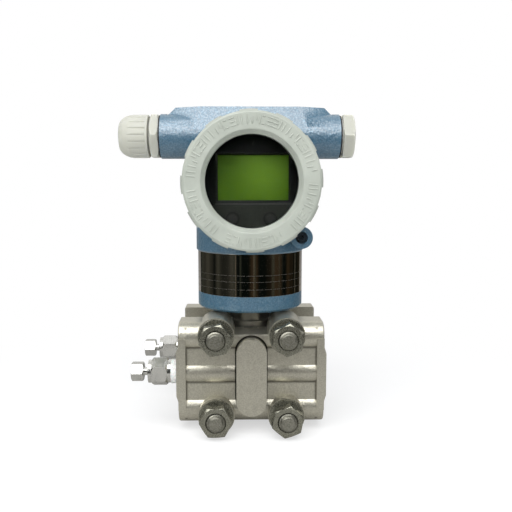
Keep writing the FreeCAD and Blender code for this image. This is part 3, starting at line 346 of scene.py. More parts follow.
@dataclass(frozen=True)
class BlastedSteel:
    """Cast or forged stainless steel with a shot-blasted grain; with a pad given, it also has
    painted shade in the flanges' corners and round the pad's foot.
    """

    name: str
    slot: str
    dark: Colour
    light: Colour
    grain: float = 0.70
    depth: float = 0.15
    gloss: float = 0.24
    pad: tuple[float, float] | None = None
    rib_edge: float = 4.8
    lobe_edge: float = 15.1
    plate_edge: float = 36.9
    web_y: float = 33.2
    pad_y: tuple[float, float] = (30.0, 37.5)

    def material(self) -> bpy.types.Material:
        """Build the material.

        Returns:
            The material.
        """
        g = Graph(self.name)
        at = g.place()
        grain = g.noise(at, self.grain, 3.0, 0.6)
        pits = g.cells(at, self.grain * 2.2)
        broad = g.noise(at, 11.0, 3.0)
        stain = g.noise(at, 3.6, 3.0).step(0.52, 0.80)
        base = g.mix(grain.step(0.30, 0.70) * 0.75 + broad * 0.25, self.dark, self.light)
        base = g.mix(stain * 0.18, base, tuple(c * 0.6 for c in self.dark))
        if self.pad:
            # Painted shade in the flanges' corners: below the rib, at the upper lobe's foot and
            # inside the end plates.
            base = g.mix(self.painted_crease_shade(g, at) * 0.62, base, (0.05, 0.046, 0.036))
            # Painted shade: a near-black line round the foot of the pad.
            base = g.mix(self.painted_pad_shade(g, at) * 0.94, base, (0.012, 0.011, 0.008))
        normal = g.bump(broad, 0.05)
        normal = g.bump(grain * 0.8 + pits * 0.35, self.depth, normal)
        rough = grain * 0.22 + stain * 0.08 + self.gloss
        return g.finish(base, rough, normal, Metallic=0.95)

    def painted_crease_shade(self, g: Graph, at: Value) -> Value:
        """Return painted shade: darker colour in the corners along the rib, the lobes and the end
        plates.

        Args:
            g: the material's graph.
            at: coordinates in millimetres.

        Returns:
            1 in a corner and 0 elsewhere.
        """
        x, y, z = self.from_middle(g, at)
        across, depth = g.size_of(x), g.size_of(y)
        painted_shade: Any = 0.0
        for value, corner in ((z, -self.rib_edge), (z, self.lobe_edge), (across, self.plate_edge)):
            away = g.size_of(value - corner)
            painted_shade = g.larger(painted_shade, 1.0 - away.step(0.15, 1.3))
        return painted_shade * depth.step(self.web_y - 0.6, self.web_y - 0.1) * (
            1.0 - depth.step(self.web_y + 0.3, self.web_y + 1.0))

    @staticmethod
    def from_middle(g: Graph, at: Value) -> list[Value]:
        """Return the three coordinates, measured from the flanges' middle."""
        x, y, z = g.parts(at)
        return [x, y, z - FLANGE_Z]

    def painted_pad_shade(self, g: Graph, at: Value) -> Value:
        """Return the painted shade that runs as a dark line round the foot of the round-ended pad.

        Args:
            g: the material's graph.
            at: coordinates in millimetres.

        Returns:
            1 on the line and 0 elsewhere.
        """
        straight, radius = self.pad
        x, y, z = self.from_middle(g, at)
        above = g.larger(g.size_of(z) - straight, 0.0)
        away = (x * x + above * above) ** 0.5 - radius
        depth = g.size_of(y)
        near, far = self.pad_y
        face = depth.step(near - 2.0, near) * (1.0 - depth.step(far, far + 2.5))
        return away.step(-0.30, 0.02) * (1.0 - away.step(0.60, 1.00)) * face


@dataclass(frozen=True)
class TurnedSteel:
    """Machined or drawn metal with fine tool lines round one axis."""

    name: str
    slot: str
    colour: Colour
    along: Axis = Axis.Z
    line: float = 0.18
    gloss: float = 0.2
    depth: float = 0.006

    def material(self) -> bpy.types.Material:
        """Build the material.

        Returns:
            The material.
        """
        g = Graph(self.name)
        at = g.place()
        lines = g.noise(g.place(self.along.stretch(0.04)), self.line, 3.0)
        smudge = g.noise(at, 5.0, 3.0).step(0.40, 0.75)
        base = g.mix(lines * 0.5 + smudge * 0.3, self.colour,
                     tuple(c * 0.62 for c in self.colour))
        rough = lines * 0.16 + smudge * 0.12 + self.gloss
        return g.finish(base, rough, g.bump(lines, self.depth), Metallic=1.0)


@dataclass(frozen=True)
class EngravedPlate:
    """Thin polished sheet bent round the neck, with rows of fine engraved dashes."""

    name: str
    slot: str
    colour: Colour
    rows: tuple[float, ...]
    radius: float = 31.4
    dash: float = 5.2
    width: float = 0.16

    def material(self) -> bpy.types.Material:
        """Build the material.

        Returns:
            The material.
        """
        g = Graph(self.name)
        at = g.place()
        x, y, z = g.parts(at)
        turn = g.node("ShaderNodeMath", {0: y, 1: x}, operation="ARCTAN2")
        dashes = g.node("ShaderNodeMath", {0: turn * (self.radius / self.dash)},
                        operation="FRACT")
        lines: Any = 0.0
        for row in self.rows:
            off = g.size_of(z - row)
            lines = (1.0 - off.step(self.width * 0.5, self.width)) + lines
        cut = lines * (1.0 - dashes.step(0.80, 0.84))
        brush = g.noise(g.place((0.03, 0.03, 1.0)), 0.4, 2.0)
        smudge = g.noise(at, 4.5, 3.0).step(0.45, 0.8)
        base = g.mix(smudge * 0.25, self.colour, tuple(c * 0.8 for c in self.colour))
        base = g.mix(cut, base, (0.006, 0.006, 0.005))
        rough = smudge * 0.05 + brush * 0.04 + (cut * 0.6 + 0.05)
        normal = g.bump(g.noise(at, 14.0, 1.0), 0.05)
        return g.finish(base, rough, normal, Metallic=1.0 - cut * 0.9,
                        Specular_IOR_Level=0.2)


@dataclass(frozen=True)
class Moulded:
    """Moulded plastic or rubber with a fine tool grain."""

    name: str
    slot: str
    colour: Colour
    gloss: float = 0.45
    grain: float = 0.35
    depth: float = 0.01
    sheen: float = 0.12
    glow: float = 0.0
    specks: float = 0.0

    def material(self) -> bpy.types.Material:
        """Build the material.

        Returns:
            The material.
        """
        g = Graph(self.name)
        at = g.place()
        grain = g.noise(at, self.grain, 2.0)
        broad = g.noise(at, 7.0, 3.0)
        grime = g.noise(at, 2.4, 4.0).step(0.58, 0.82)
        base = g.mix(broad * self.sheen * 2.0, self.colour, tuple(c * 0.8 for c in self.colour))
        base = g.mix(grime * self.sheen * 1.6, base, tuple(c * 0.55 for c in self.colour))
        if self.specks:
            dots = g.noise(at, 0.9, 2.0, 0.7).step(0.56, 0.66)
            base = g.mix(dots * self.specks, base, (0.002, 0.002, 0.002))
        rough = grain * 0.1 + broad * 0.12 + self.gloss
        return g.finish(base, rough, g.bump(grain, self.depth), Subsurface_Weight=self.glow,
                        Subsurface_Radius=(1.0, 1.0, 0.85), Subsurface_Scale=6.0 * MM)


@dataclass(frozen=True)
class ThreadTape:
    """Thin white sealing tape wound over a thread."""

    name: str
    slot: str
    colour: Colour

    def material(self) -> bpy.types.Material:
        """Build the material.

        Returns:
            The material.
        """
        g = Graph(self.name)
        folds = g.noise(g.place((2.4, 0.6, 0.6)), 0.9, 4.0, 0.6)
        base = g.mix(folds.step(0.35, 0.6), tuple(c * 0.7 for c in self.colour), self.colour)
        return g.finish(base, folds * 0.2 + 0.45, g.bump(folds, 0.12),
                        Subsurface_Weight=0.1, Subsurface_Scale=0.001)


@dataclass(frozen=True)
class ClearGlass:
    """Clear toughened window glass."""

    name: str
    slot: str

    def material(self) -> bpy.types.Material:
        """Build the material.

        Returns:
            The material.
        """
        g = Graph(self.name)
        at = g.place()
        smear = g.noise(at, 6.0, 3.0).step(0.45, 0.9)
        return g.finish(g.mix(smear * 0.2, (1.0, 1.0, 1.0), (0.86, 0.9, 0.88)),
                        smear * 0.04 + 0.01, None, Transmission_Weight=1.0, IOR=1.45)


@dataclass(frozen=True)
class LiquidCrystal:
    """Reflective liquid-crystal panel, switched off, with a painted pool of light round one point.
    """

    name: str
    slot: str
    dark: Colour
    light: Colour
    # centre and reach: the middle and the fall-off of the painted pool of light.
    centre: Point
    reach: tuple[float, float] = (2.0, 21.0)

    def material(self) -> bpy.types.Material:
        """Build the material.

        Returns:
            The material.
        """
        g = Graph(self.name)
        at = g.place()
        spread = g.node("ShaderNodeVectorMath", {0: at, 1: self.centre}, output="Value",
                        operation="DISTANCE")
        # Painted light: lighter round the centre, falling off to the dark colour towards the
        # edges.
        glow = 1.0 - spread.step(*self.reach)
        cloud = g.noise(at, 5.0, 2.0)
        dots = g.node("ShaderNodeTexWave", {"Vector": at, "Scale": 0.6}, output=1,
                      bands_direction="X")
        base = g.mix(glow * 0.8 + cloud * 0.2, self.dark, self.light)
        base = g.mix(dots * 0.06, base, self.dark)
        return g.finish(base, cloud * 0.06 + 0.4, None, Specular_IOR_Level=0.3)


@dataclass(frozen=True)
class CircuitBoard:
    """Glass-fibre board with solder resist and copper tracks under it."""

    name: str
    slot: str
    dark: Colour
    light: Colour

    def material(self) -> bpy.types.Material:
        """Build the material.

        Returns:
            The material.
        """
        g = Graph(self.name)
        tracks = g.cells(g.place(), 2.2, "DISTANCE_TO_EDGE").step(0.10, 0.14)
        weave = g.noise(g.place(), 0.4, 1.0)
        base = g.mix(tracks, self.light, self.dark)
        return g.finish(base, weave * 0.1 + 0.3, g.bump(tracks, 0.02))


HOUSING_PAINT = HammerPaint("housing_enamel", "housing_paint", (0.016, 0.074, 0.132),
                            (0.044, 0.138, 0.212), (0.55, 0.62, 0.68))
COVER_PAINT = CoverPaint("cover_enamel", "cover_paint", (0.300, 0.322, 0.282),
                         (0.350, 0.372, 0.328))
CAST_STEEL = BlastedSteel("cast_stainless", "cast_stainless", (0.48, 0.46, 0.385),
                          (0.66, 0.64, 0.55), pad=(13.4, 8.4))
NUT_STEEL = BlastedSteel("nut_steel", "nut_steel", (0.21, 0.21, 0.168), (0.36, 0.355, 0.30),
                         grain=0.7, depth=0.04, gloss=0.16)
BOLT_STEEL = BlastedSteel("bolt_steel", "bolt_steel", (0.18, 0.18, 0.15), (0.40, 0.39, 0.335),
                          grain=0.6, depth=0.05, gloss=0.26)
MODULE_STEEL = TurnedSteel("module_steel", "module_steel", (0.32, 0.31, 0.28), Axis.Z, gloss=0.27)
DIAPHRAGM_STEEL = TurnedSteel("diaphragm_steel", "diaphragm_steel", (0.72, 0.72, 0.71), Axis.Y)
VENT_STEEL = TurnedSteel("vent_steel", "vent_steel", (0.76, 0.76, 0.73), Axis.X,
                         line=0.5, gloss=0.09, depth=0.002)
SCREW_STEEL = TurnedSteel("screw_steel", "screw_steel", (0.17, 0.22, 0.29), Axis.Y)
PLATE_STEEL = EngravedPlate("nameplate_steel", "nameplate_steel", (0.56, 0.51, 0.45),
                            (88.5, 84.9, 80.6))
RING_ALUMINIUM = TurnedSteel("ring_aluminium", "glass_ring_aluminium", (0.62, 0.62, 0.62), Axis.Y)
WHITE_TAPE = ThreadTape("thread_tape", "ptfe", (0.70, 0.70, 0.68))
WHITE_NYLON = Moulded("gland_nylon", "gland_nylon", (0.425, 0.425, 0.375), 0.42, glow=0.8)
BLACK_RUBBER = Moulded("seal_rubber", "seal_rubber", (0.016, 0.016, 0.017), 0.62)
BEZEL_PLASTIC = Moulded("bezel_plastic", "bezel_plastic", (0.003, 0.004, 0.004), 0.22)
BUTTON_PLASTIC = Moulded("button_plastic", "button_plastic", (0.045, 0.047, 0.045), 0.3)
# A lighter copy of the bezel plastic with dark specks: the specks are texture, and the lighter
# tone is partly the plate's own tone and partly painted light, since the bezel above it lies in
# the cover's shade.
PANEL_PLASTIC = Moulded("panel_plastic", "bezel_plastic", (0.032, 0.038, 0.029), 0.30,
                        specks=0.75)
# Painted light: a lighter copy of the bezel plastic for the sloping sill, standing in for the
# light that it catches.
LIT_SILL_PLASTIC = Moulded("lit_sill_plastic", "bezel_plastic", (0.085, 0.095, 0.080), 0.30)
TERMINAL_PLASTIC = Moulded("terminal_plastic", "terminal_plastic", (0.03, 0.03, 0.032), 0.5)
POST_BRASS = TurnedSteel("post_brass", "post_brass", (0.70, 0.52, 0.24), Axis.Y)
TERMINAL_BRASS = TurnedSteel("terminal_brass", "terminal_brass", (0.72, 0.64, 0.42), Axis.Y)
WINDOW_GLASS = ClearGlass("window_glass", "window_glass")
BOARD_RESIST = CircuitBoard("circuit_board", "circuit_board", (0.015, 0.10, 0.035),
                            (0.03, 0.17, 0.06))
# The lighter patch round the point (7.0, -33.4, 145.5) is painted light.
LCD_PANEL = LiquidCrystal("lcd_panel", "lcd", (0.085, 0.198, 0.0015), (0.200, 0.395, 0.024),
                          (7.0, -33.4, 145.5))

Finish = (HammerPaint | CoverPaint | BlastedSteel | TurnedSteel | EngravedPlate | Moulded
          | ThreadTape | ClearGlass | LiquidCrystal | CircuitBoard)
MATERIALS: dict[str, bpy.types.Material] = {}


def material_of(finish: Finish) -> bpy.types.Material:
    """Build a finish's material once.

    Args:
        finish: the finish.

    Returns:
        Its material.
    """
    if finish.name not in MATERIALS:
        MATERIALS[finish.name] = finish.material()
    return MATERIALS[finish.name]


class Assembly:
    """A sub-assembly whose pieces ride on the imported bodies."""

    def settle(self, name: str, mesh: bmesh.types.BMesh, finish: Finish,
               sharp: float = 32.0) -> bpy.types.Object:
        """Turn a finished mesh into an object with its finish.

        Args:
            name: the piece's name.
            mesh: the shape, in metres and in place.
            finish: the piece's finish.
            sharp: the angle in degrees past which an edge stays sharp.

        Returns:
            The object.
        """
        data = bpy.data.meshes.new(name)
        mesh.to_mesh(data)
        mesh.free()
        data.shade_smooth()
        data.set_sharp_from_angle(angle=math.radians(sharp))
        piece = bpy.data.objects.new(name, data)
        bpy.context.scene.collection.objects.link(piece)
        data.materials.append(material_of(finish))
        weighted = piece.modifiers.new("weighted", "WEIGHTED_NORMAL")
        weighted.keep_sharp = True
        return piece

    def add(self, name: str, mesh: bmesh.types.BMesh, finish: Finish, body: str,
            sharp: float = 32.0) -> bpy.types.Object:
        """Add a new piece that rides on a body.

        Args:
            name: the piece's name.
            mesh: the shape, in metres and in place.
            finish: the piece's finish.
            body: the body that carries it.
            sharp: the angle in degrees past which an edge stays sharp.

        Returns:
            The object.
        """
        piece = self.settle(name, mesh, finish, sharp)
        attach(piece, body)
        log.info("%s rides on %s with %d faces", name, body, len(piece.data.polygons))
        return piece

    def broken(self, node: str, edge: float = 0.3, angle: float = 28.0) -> bmesh.types.BMesh:
        """Copy a node's shape and break its edges as a maker would leave them.

        Args:
            node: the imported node.
            edge: width of the broken edges.
            angle: the angle in degrees past which an edge is broken.

        Returns:
            The mesh.
        """
        mesh = bmesh.new()
        mesh.from_mesh(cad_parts[node].data)
        bmesh.ops.remove_doubles(mesh, verts=mesh.verts, dist=WELD_DISTANCE * MM)
        bmesh.ops.dissolve_limit(mesh, angle_limit=math.radians(FLAT_ANGLE), verts=mesh.verts,
                                 edges=mesh.edges, use_dissolve_boundaries=False,
                                 delimit={"NORMAL"})
        if edge:
            corners = [e for e in mesh.edges if e.is_manifold
                       and e.calc_face_angle(0.0) > math.radians(angle)]
            bmesh.ops.bevel(mesh, geom=corners, offset=edge * MM, offset_type="OFFSET",
                            affect="EDGES", segments=2, profile=0.5, material=-1,
                            clamp_overlap=True)
        return mesh

    def soften(self, node: str, finish: Finish, body: str, edge: float = 0.3,
               angle: float = 28.0) -> bpy.types.Object:
        """Show a node with its edges broken as a maker would leave them.

        Args:
            node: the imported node.
            finish: its finish.
            body: the body that carries it.
            edge: width of the broken edges.
            angle: the angle in degrees past which an edge is broken.

        Returns:
            The object.
        """
        return self.stand_in(node, self.broken(node, edge, angle), finish, body)

    def stand_in(self, node: str, mesh: bmesh.types.BMesh, finish: Finish,
                 body: str) -> bpy.types.Object:
        """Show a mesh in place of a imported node.

        Args:
            node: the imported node.
            mesh: the shape that stands for it.
            finish: its finish.
            body: the body that carries it.

        Returns:
            The object.
        """
        piece = self.settle(node + "_look", mesh, finish)
        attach(piece, body)
        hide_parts(node)
        log.info("%s shows %s with %d faces", piece.name, node, len(piece.data.polygons))
        return piece

    def coat(self, finish: Finish, *nodes: str) -> None:
        """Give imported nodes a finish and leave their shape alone.

        Args:
            finish: the finish.
            nodes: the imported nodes.
        """
        for node in nodes:
            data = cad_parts[node].data
            data.materials.clear()
            data.materials.append(material_of(finish))
            log.info("%s wears %s", node, finish.name)


def facing_front(at: Point) -> Matrix:
    """Return the transform that turns +Z to the front and carries it to a place."""
    return Matrix.Translation(Vector(at) * MM) @ Matrix.Rotation(math.pi / 2, 4, "X")


def lathe(profile: Sequence[tuple[float, float]], where: Matrix, steps: int = 72,
          closed: bool = False) -> bmesh.types.BMesh:
    """Spin a profile of (radius, height) points into a turned piece.

    Args:
        profile: the points, in millimetres.
        where: the transform that carries the piece to its place.
        steps: number of steps round.
        closed: whether the last point joins the first.

    Returns:
        The mesh.
    """
    mesh = bmesh.new()
    verts = [mesh.verts.new((radius * MM, 0.0, height * MM)) for radius, height in profile]
    pairs = list(zip(verts, verts[1:]))
    if closed:
        pairs.append((verts[-1], verts[0]))
    edges = [mesh.edges.new(pair) for pair in pairs]
    bmesh.ops.spin(mesh, geom=verts + edges, cent=(0, 0, 0), axis=(0, 0, 1),
                   angle=math.tau, steps=steps, use_merge=True)
    bmesh.ops.remove_doubles(mesh, verts=mesh.verts, dist=0.001 * MM)
    bmesh.ops.recalc_face_normals(mesh, faces=mesh.faces)
    bmesh.ops.transform(mesh, matrix=where, verts=mesh.verts)
    return mesh


def thread(radius: float, pitch: float, length: float, where: Matrix, depth: float = 0.0,
           steps: int = 40) -> bmesh.types.BMesh:
    """Wind one thread's ridge round an axis.

    Args:
        radius: the radius at the ridge's root.
        pitch: the rise in one turn.
        length: the threaded length.
        where: the transform that carries the thread to its place.
        depth: the ridge's height, or 0 for six tenths of the pitch.
        steps: number of steps in one turn.

    Returns:
        The mesh.
    """
    depth = depth or pitch * 0.6
    turns = (length - pitch * 0.8) / pitch
    count = max(1, round(turns * steps))
    mesh = bmesh.new()
    corners = [(radius - 0.15, 0.05), (radius + depth, pitch * 0.36),
               (radius + depth, pitch * 0.46), (radius - 0.15, pitch * 0.78)]
    verts = [mesh.verts.new((r * MM, 0.0, z * MM)) for r, z in corners]
    edges = [mesh.edges.new(pair) for pair in zip(verts, verts[1:] + verts[:1])]
    bmesh.ops.spin(mesh, geom=verts + edges, cent=(0, 0, 0), axis=(0, 0, 1),
                   angle=math.tau * turns, steps=count,
                   dvec=(0.0, 0.0, turns * pitch * MM / count))
    bmesh.ops.holes_fill(mesh, edges=[e for e in mesh.edges if e.is_boundary], sides=4)
    bmesh.ops.recalc_face_normals(mesh, faces=mesh.faces)
    bmesh.ops.transform(mesh, matrix=where, verts=mesh.verts)
    return mesh


def block(size: Point, where: Matrix, edge: float = 0.15) -> bmesh.types.BMesh:
    """Make a box with broken edges round its own middle.

    Args:
        size: its three sides.
        where: the transform that carries it to its place.
        edge: width of the broken edges.

    Returns:
        The mesh.
    """
    mesh = bmesh.new()
    bmesh.ops.create_cube(mesh, size=MM)
    bmesh.ops.scale(mesh, vec=size, verts=mesh.verts)
    bmesh.ops.bevel(mesh, geom=mesh.edges[:], offset=edge * MM, affect="EDGES", segments=2,
                    profile=0.5, material=-1)
    bmesh.ops.transform(mesh, matrix=where, verts=mesh.verts)
    return mesh


def merge(meshes: Sequence[bmesh.types.BMesh]) -> bmesh.types.BMesh:
    """Join several meshes into one.

    Args:
        meshes: the meshes, which are used up.

    Returns:
        The joined mesh.
    """
    whole = bmesh.new()
    for part in meshes:
        data = bpy.data.meshes.new("part")
        part.to_mesh(data)
        part.free()
        whole.from_mesh(data)
        bpy.data.meshes.remove(data)
    return whole


@dataclass
class ProcessEnd(Assembly):
    """The two cast flanges, their bolts and the sensor module between them."""

    bolt_x: float = 19.7
    bolt_z: float = 22.8
    bolt_pitch: float = 1.5
    bolt_root: float = 4.25
    bolt_crest: float = 0.68
    cut_y: float = -44.0
    bolt_end: float = 52.2
    dome: tuple[tuple[float, float], ...] = ((3.65, 0.12), (3.4, 0.0), (2.9, 0.0), (0.0, 0.15))

    def build(self) -> None:
        """Dress the castings and the fasteners."""
        for node in ("front_flange", "rear_flange"):
            self.soften(node, CAST_STEEL, "sensor", 0.45)
        self.stand_in("flange_bolts", self.threaded_bolts(), BOLT_STEEL, "sensor")
        self.soften("flange_nuts", NUT_STEEL, "sensor", 0.6)
        self.soften("flange_washers", NUT_STEEL, "sensor", 0.25)
        self.soften("sensor_module", MODULE_STEEL, "sensor", 0.3)
        self.coat(WHITE_TAPE, "front_gasket", "rear_gasket")
        self.coat(DIAPHRAGM_STEEL, "front_diaphragm", "rear_diaphragm")

    def threaded_bolts(self) -> bmesh.types.BMesh:
        """Give the four bolts' ends a real thread.

        Returns:
            The bolts, with plain shanks and heads and threaded, domed ends.
        """
        shanks = self.broken("flange_bolts", 0.2)
        geom = shanks.verts[:] + shanks.edges[:] + shanks.faces[:]
        bmesh.ops.bisect_plane(shanks, geom=geom, plane_co=(0.0, self.cut_y * MM, 0.0),
                               plane_no=(0.0, -1.0, 0.0), clear_outer=True)
        bmesh.ops.holes_fill(shanks, edges=[e for e in shanks.edges if e.is_boundary], sides=0)
        ends = [shanks]
        reach = self.bolt_end + self.cut_y
        profile = [(0.0, 0.0), (self.bolt_root, 0.0), (self.bolt_root, reach - 1.1)]
        profile += [(radius, reach - down) for radius, down in self.dome]
        for x in (-self.bolt_x, self.bolt_x):
            for z in (FLANGE_Z - self.bolt_z, FLANGE_Z + self.bolt_z):
                where = facing_front((x, self.cut_y + 0.2, z))
                ends.append(lathe(profile, where, 40))
                ends.append(thread(self.bolt_root, self.bolt_pitch, reach - 1.0, where,
                                   self.bolt_crest))
        return merge(ends)


@dataclass
class VentValves(Assembly):
    """The two vent valves on the flanges' left ends."""

    def build(self) -> None:
        """Dress both vents."""
        self.coat(WHITE_TAPE, "thread_tapes")
        for side, y in (("front", -PORT_Y), ("rear", PORT_Y)):
            self.soften(side + "_vent_body", VENT_STEEL, "sensor", 0.3)
            self.soften(side + "_vent_stem", VENT_STEEL, side + "_vent_stem", 0.25)
            self.coat(VENT_STEEL, side + "_vent_ball")


@dataclass
class Housing(Assembly):
    """The painted casting with its screws and nameplate."""

    band_radius: float = 30.5
    band_foot: float = 75.2
    band_top: float = 96.9
    foot_lift: float = 1.2
    top_lift: float = 3.7
    rim_radius: float = 32.6
    near: float = 1.15

    def build(self) -> None:
        """Dress the casting and what is fixed to it."""
        casting = self.broken("housing_casting", 0.55)
        plate = self.broken("nameplate_band", 0.1)
        for mesh in (casting, plate):
            self.lift_ring(mesh, self.band_top, self.top_lift)
            self.lift_ring(mesh, self.band_foot, self.foot_lift)
        self.stand_in("housing_casting", casting, HOUSING_PAINT, "housing")
        self.stand_in("nameplate_band", plate, PLATE_STEEL, "housing")
        self.coat(SCREW_STEEL, "lug_screw", "neck_lock_screw")

    def lift_ring(self, mesh: bmesh.types.BMesh, level: float, lift: float) -> None:
        """Raise the edges of the nameplate's seat that lie near one level.

        Args:
            mesh: the casting or the plate.
            level: the height of the edges.
            lift: how far they rise.
        """
        for vert in mesh.verts:
            x, y, z = vert.co / MM
            at_seat = self.band_radius < math.hypot(x, y) < self.rim_radius
            if at_seat and abs(z - level) < self.near:
                vert.co.z += lift * MM


@dataclass
class FrontCover(Assembly):
    """The windowed cover with its glass."""

    face_y: float = -51.6
    mark_radius: float = 32.0
    mark_depth: float = 0.8
    mark_groups: list[tuple[float, int]] = field(default_factory=lambda: [
        (98.0, 8), (40.0, 9), (334.0, 7), (272.0, 8), (210.0, 7), (152.0, 7)])
    mark_pitch: float = 7.0
    strokes: list[list[tuple[float, float, float, float]]] = field(default_factory=lambda: [
        [(-1.2, 0.0, 0.8, 4.8), (1.0, 0.0, 0.8, 4.8)],
        [(-1.2, 0.0, 0.8, 4.8), (0.7, 2.0, 1.6, 0.8), (0.7, -2.0, 1.6, 0.8)],
        [(0.0, 0.0, 0.8, 4.8)],
        [(0.0, 2.0, 3.0, 0.8), (0.0, 0.0, 3.0, 0.8), (0.0, -2.0, 3.0, 0.8)],
        [(-1.2, -0.9, 0.8, 3.0), (1.0, 0.9, 0.8, 3.0)]])

    def build(self) -> None:
        """Dress the cover and its glass."""
        self.soften("front_cover", COVER_PAINT, "front_cover", 0.5)
        self.add("cover_marks", self.marks(), COVER_PAINT, "front_cover")
        self.coat(BLACK_RUBBER, "window_gasket", "front_cover_seal")
        self.coat(RING_ALUMINIUM, "glass_ring")
        self.coat(WINDOW_GLASS, "window_glass")

    def marks(self) -> bmesh.types.BMesh:
        """Raise groups of plain strokes round the cover's face.

        Returns:
            The strokes.
        """
        bars = []
        centre = Matrix.Translation(Vector((0.0, self.face_y, COVER_Z)) * MM)
        for middle, count in self.mark_groups:
            for place in range(count):
                turn = math.radians(middle + (place - (count - 1) / 2) * self.mark_pitch - 90.0)
                group = self.strokes[(place * 3 + count) % len(self.strokes)]
                for along, out, wide, high in group:
                    spot = Vector((along, 0.0, self.mark_radius + out)) * MM
                    where = centre @ Matrix.Rotation(-turn, 4, "Y") @ Matrix.Translation(spot)
                    bars.append(block((wide, self.mark_depth, high), where, 0.3))
        return merge(bars)


@dataclass
class RearCover(Assembly):
    """The plain cover over the terminals."""

    def build(self) -> None:
        """Dress the cover."""
        self.soften("rear_cover", COVER_PAINT, "rear_cover", 0.5)
        self.coat(BLACK_RUBBER, "rear_cover_seal")


@dataclass
class Display(Assembly):
    """The display behind the window."""

    face_y: float = -35.6
    panel_radius: float = 26.9
    panel_top: float = 128.3
    panel_lift: float = 0.35
    sill: tuple[float, float, float] = (-18.4, 20.4, 130.9)
    sill_spread: float = 1.5
    sill_drop: float = 2.3
    button_x: float = 10.2
    button_z: float = 120.9
    notch: Point = (0.5, -35.7, 161.5)
    clip_bar: Point = (0.5, 0.5, 1.9)
    clip_turn: float = 40.0
    button_ring: tuple[tuple[float, float], ...] = (
        (2.95, 0.0), (3.7, 0.0), (3.7, 0.45), (3.45, 0.62), (3.15, 0.62), (2.95, 0.45))

    def build(self) -> None:
        """Dress the bezel, the panel and the buttons."""
        self.add("key_panel", self.key_panel(), PANEL_PLASTIC, "housing")
        # The sill's lighter plastic is painted light.
        self.add("display_sill", self.sill_strip(), LIT_SILL_PLASTIC, "housing")
        self.add("display_trim", self.trim(), BEZEL_PLASTIC, "housing")
        self.soften("display_bezel", BEZEL_PLASTIC, "housing", 0.25)
        self.soften("lcd_panel", LCD_PANEL, "housing", 0.2)
        self.soften("left_button", BUTTON_PLASTIC, "left_button", 0.3)
        self.soften("right_button", BUTTON_PLASTIC, "right_button", 0.3)
        self.coat(BOARD_RESIST, "display_board", "main_board")
        self.coat(POST_BRASS, "board_posts", "display_posts")

    def key_panel(self) -> bmesh.types.BMesh:
        """Make the lighter plate below the display that holds the buttons; its lighter tone is
        partly painted light.

        Returns:
            The plate, a segment of a disc.
        """
        mesh = bmesh.new()
        where = facing_front((0.0, self.face_y, COVER_Z))
        bmesh.ops.create_circle(mesh, cap_ends=True, segments=96,
                                radius=self.panel_radius * MM, matrix=where)
        geom = mesh.verts[:] + mesh.edges[:] + mesh.faces[:]
        bmesh.ops.bisect_plane(mesh, geom=geom, plane_co=(0.0, 0.0, self.panel_top * MM),
                               plane_no=(0.0, 0.0, 1.0), clear_outer=True)
        made = bmesh.ops.extrude_face_region(mesh, geom=mesh.faces[:])
        front = [v for v in made["geom"] if isinstance(v, bmesh.types.BMVert)]
        bmesh.ops.translate(mesh, verts=front, vec=(0.0, -self.panel_lift * MM, 0.0))
        bmesh.ops.recalc_face_normals(mesh, faces=mesh.faces)
        return mesh

    def sill_strip(self) -> bmesh.types.BMesh:
        """Make the sloping sill under the display's opening, whose lighter plastic is painted
        light on it.

        Returns:
            The sill.
        """
        left, right, top = self.sill
        mesh = bmesh.new()
        inner = [(left, self.face_y + 1.0, top), (right, self.face_y + 1.0, top)]
        outer = [(right + self.sill_spread, self.face_y - self.panel_lift, top - self.sill_drop),
                 (left - self.sill_spread, self.face_y - self.panel_lift, top - self.sill_drop)]
        mesh.faces.new([mesh.verts.new(Vector(p) * MM) for p in inner + outer])
        bmesh.ops.solidify(mesh, geom=mesh.faces[:], thickness=0.3 * MM)
        bmesh.ops.recalc_face_normals(mesh, faces=mesh.faces)
        return mesh

    def trim(self) -> bmesh.types.BMesh:
        """Make the dark rings round the buttons and the clip above the display.

        Returns:
            The rings and the clip.
        """
        pieces = []
        for x in (-self.button_x, self.button_x):
            where = facing_front((x, self.face_y, self.button_z))
            pieces.append(lathe(self.button_ring, where, 40, closed=True))
        for side in (-1.0, 1.0):
            where = (Matrix.Translation(Vector(self.notch) * MM)
                     @ Matrix.Rotation(math.radians(side * self.clip_turn), 4, "Y")
                     @ Matrix.Translation(Vector((0.0, 0.0, side * 0.8)) * MM))
            pieces.append(block(self.clip_bar, where, 0.12))
        return merge(pieces)


@dataclass
class Terminals(Assembly):
    """The terminal block in the rear compartment."""

    def build(self) -> None:
        """Dress the block and its screws."""
        self.soften("terminal_block", TERMINAL_PLASTIC, "housing", 0.3)
        self.coat(TERMINAL_BRASS, "terminal_screws", "ground_screw")


@dataclass
class ConduitEntries(Assembly):
    """The cable gland and the blanking plug."""

    def build(self) -> None:
        """Dress the gland and the plug."""
        self.soften("gland_body", WHITE_NYLON, "housing", 0.35)
        self.soften("gland_cap", WHITE_NYLON, "gland_cap", 0.2)
        self.soften("conduit_plug", WHITE_NYLON, "housing", 0.35)
        self.coat(BLACK_RUBBER, "gland_seal", "gland_washer", "plug_washer")


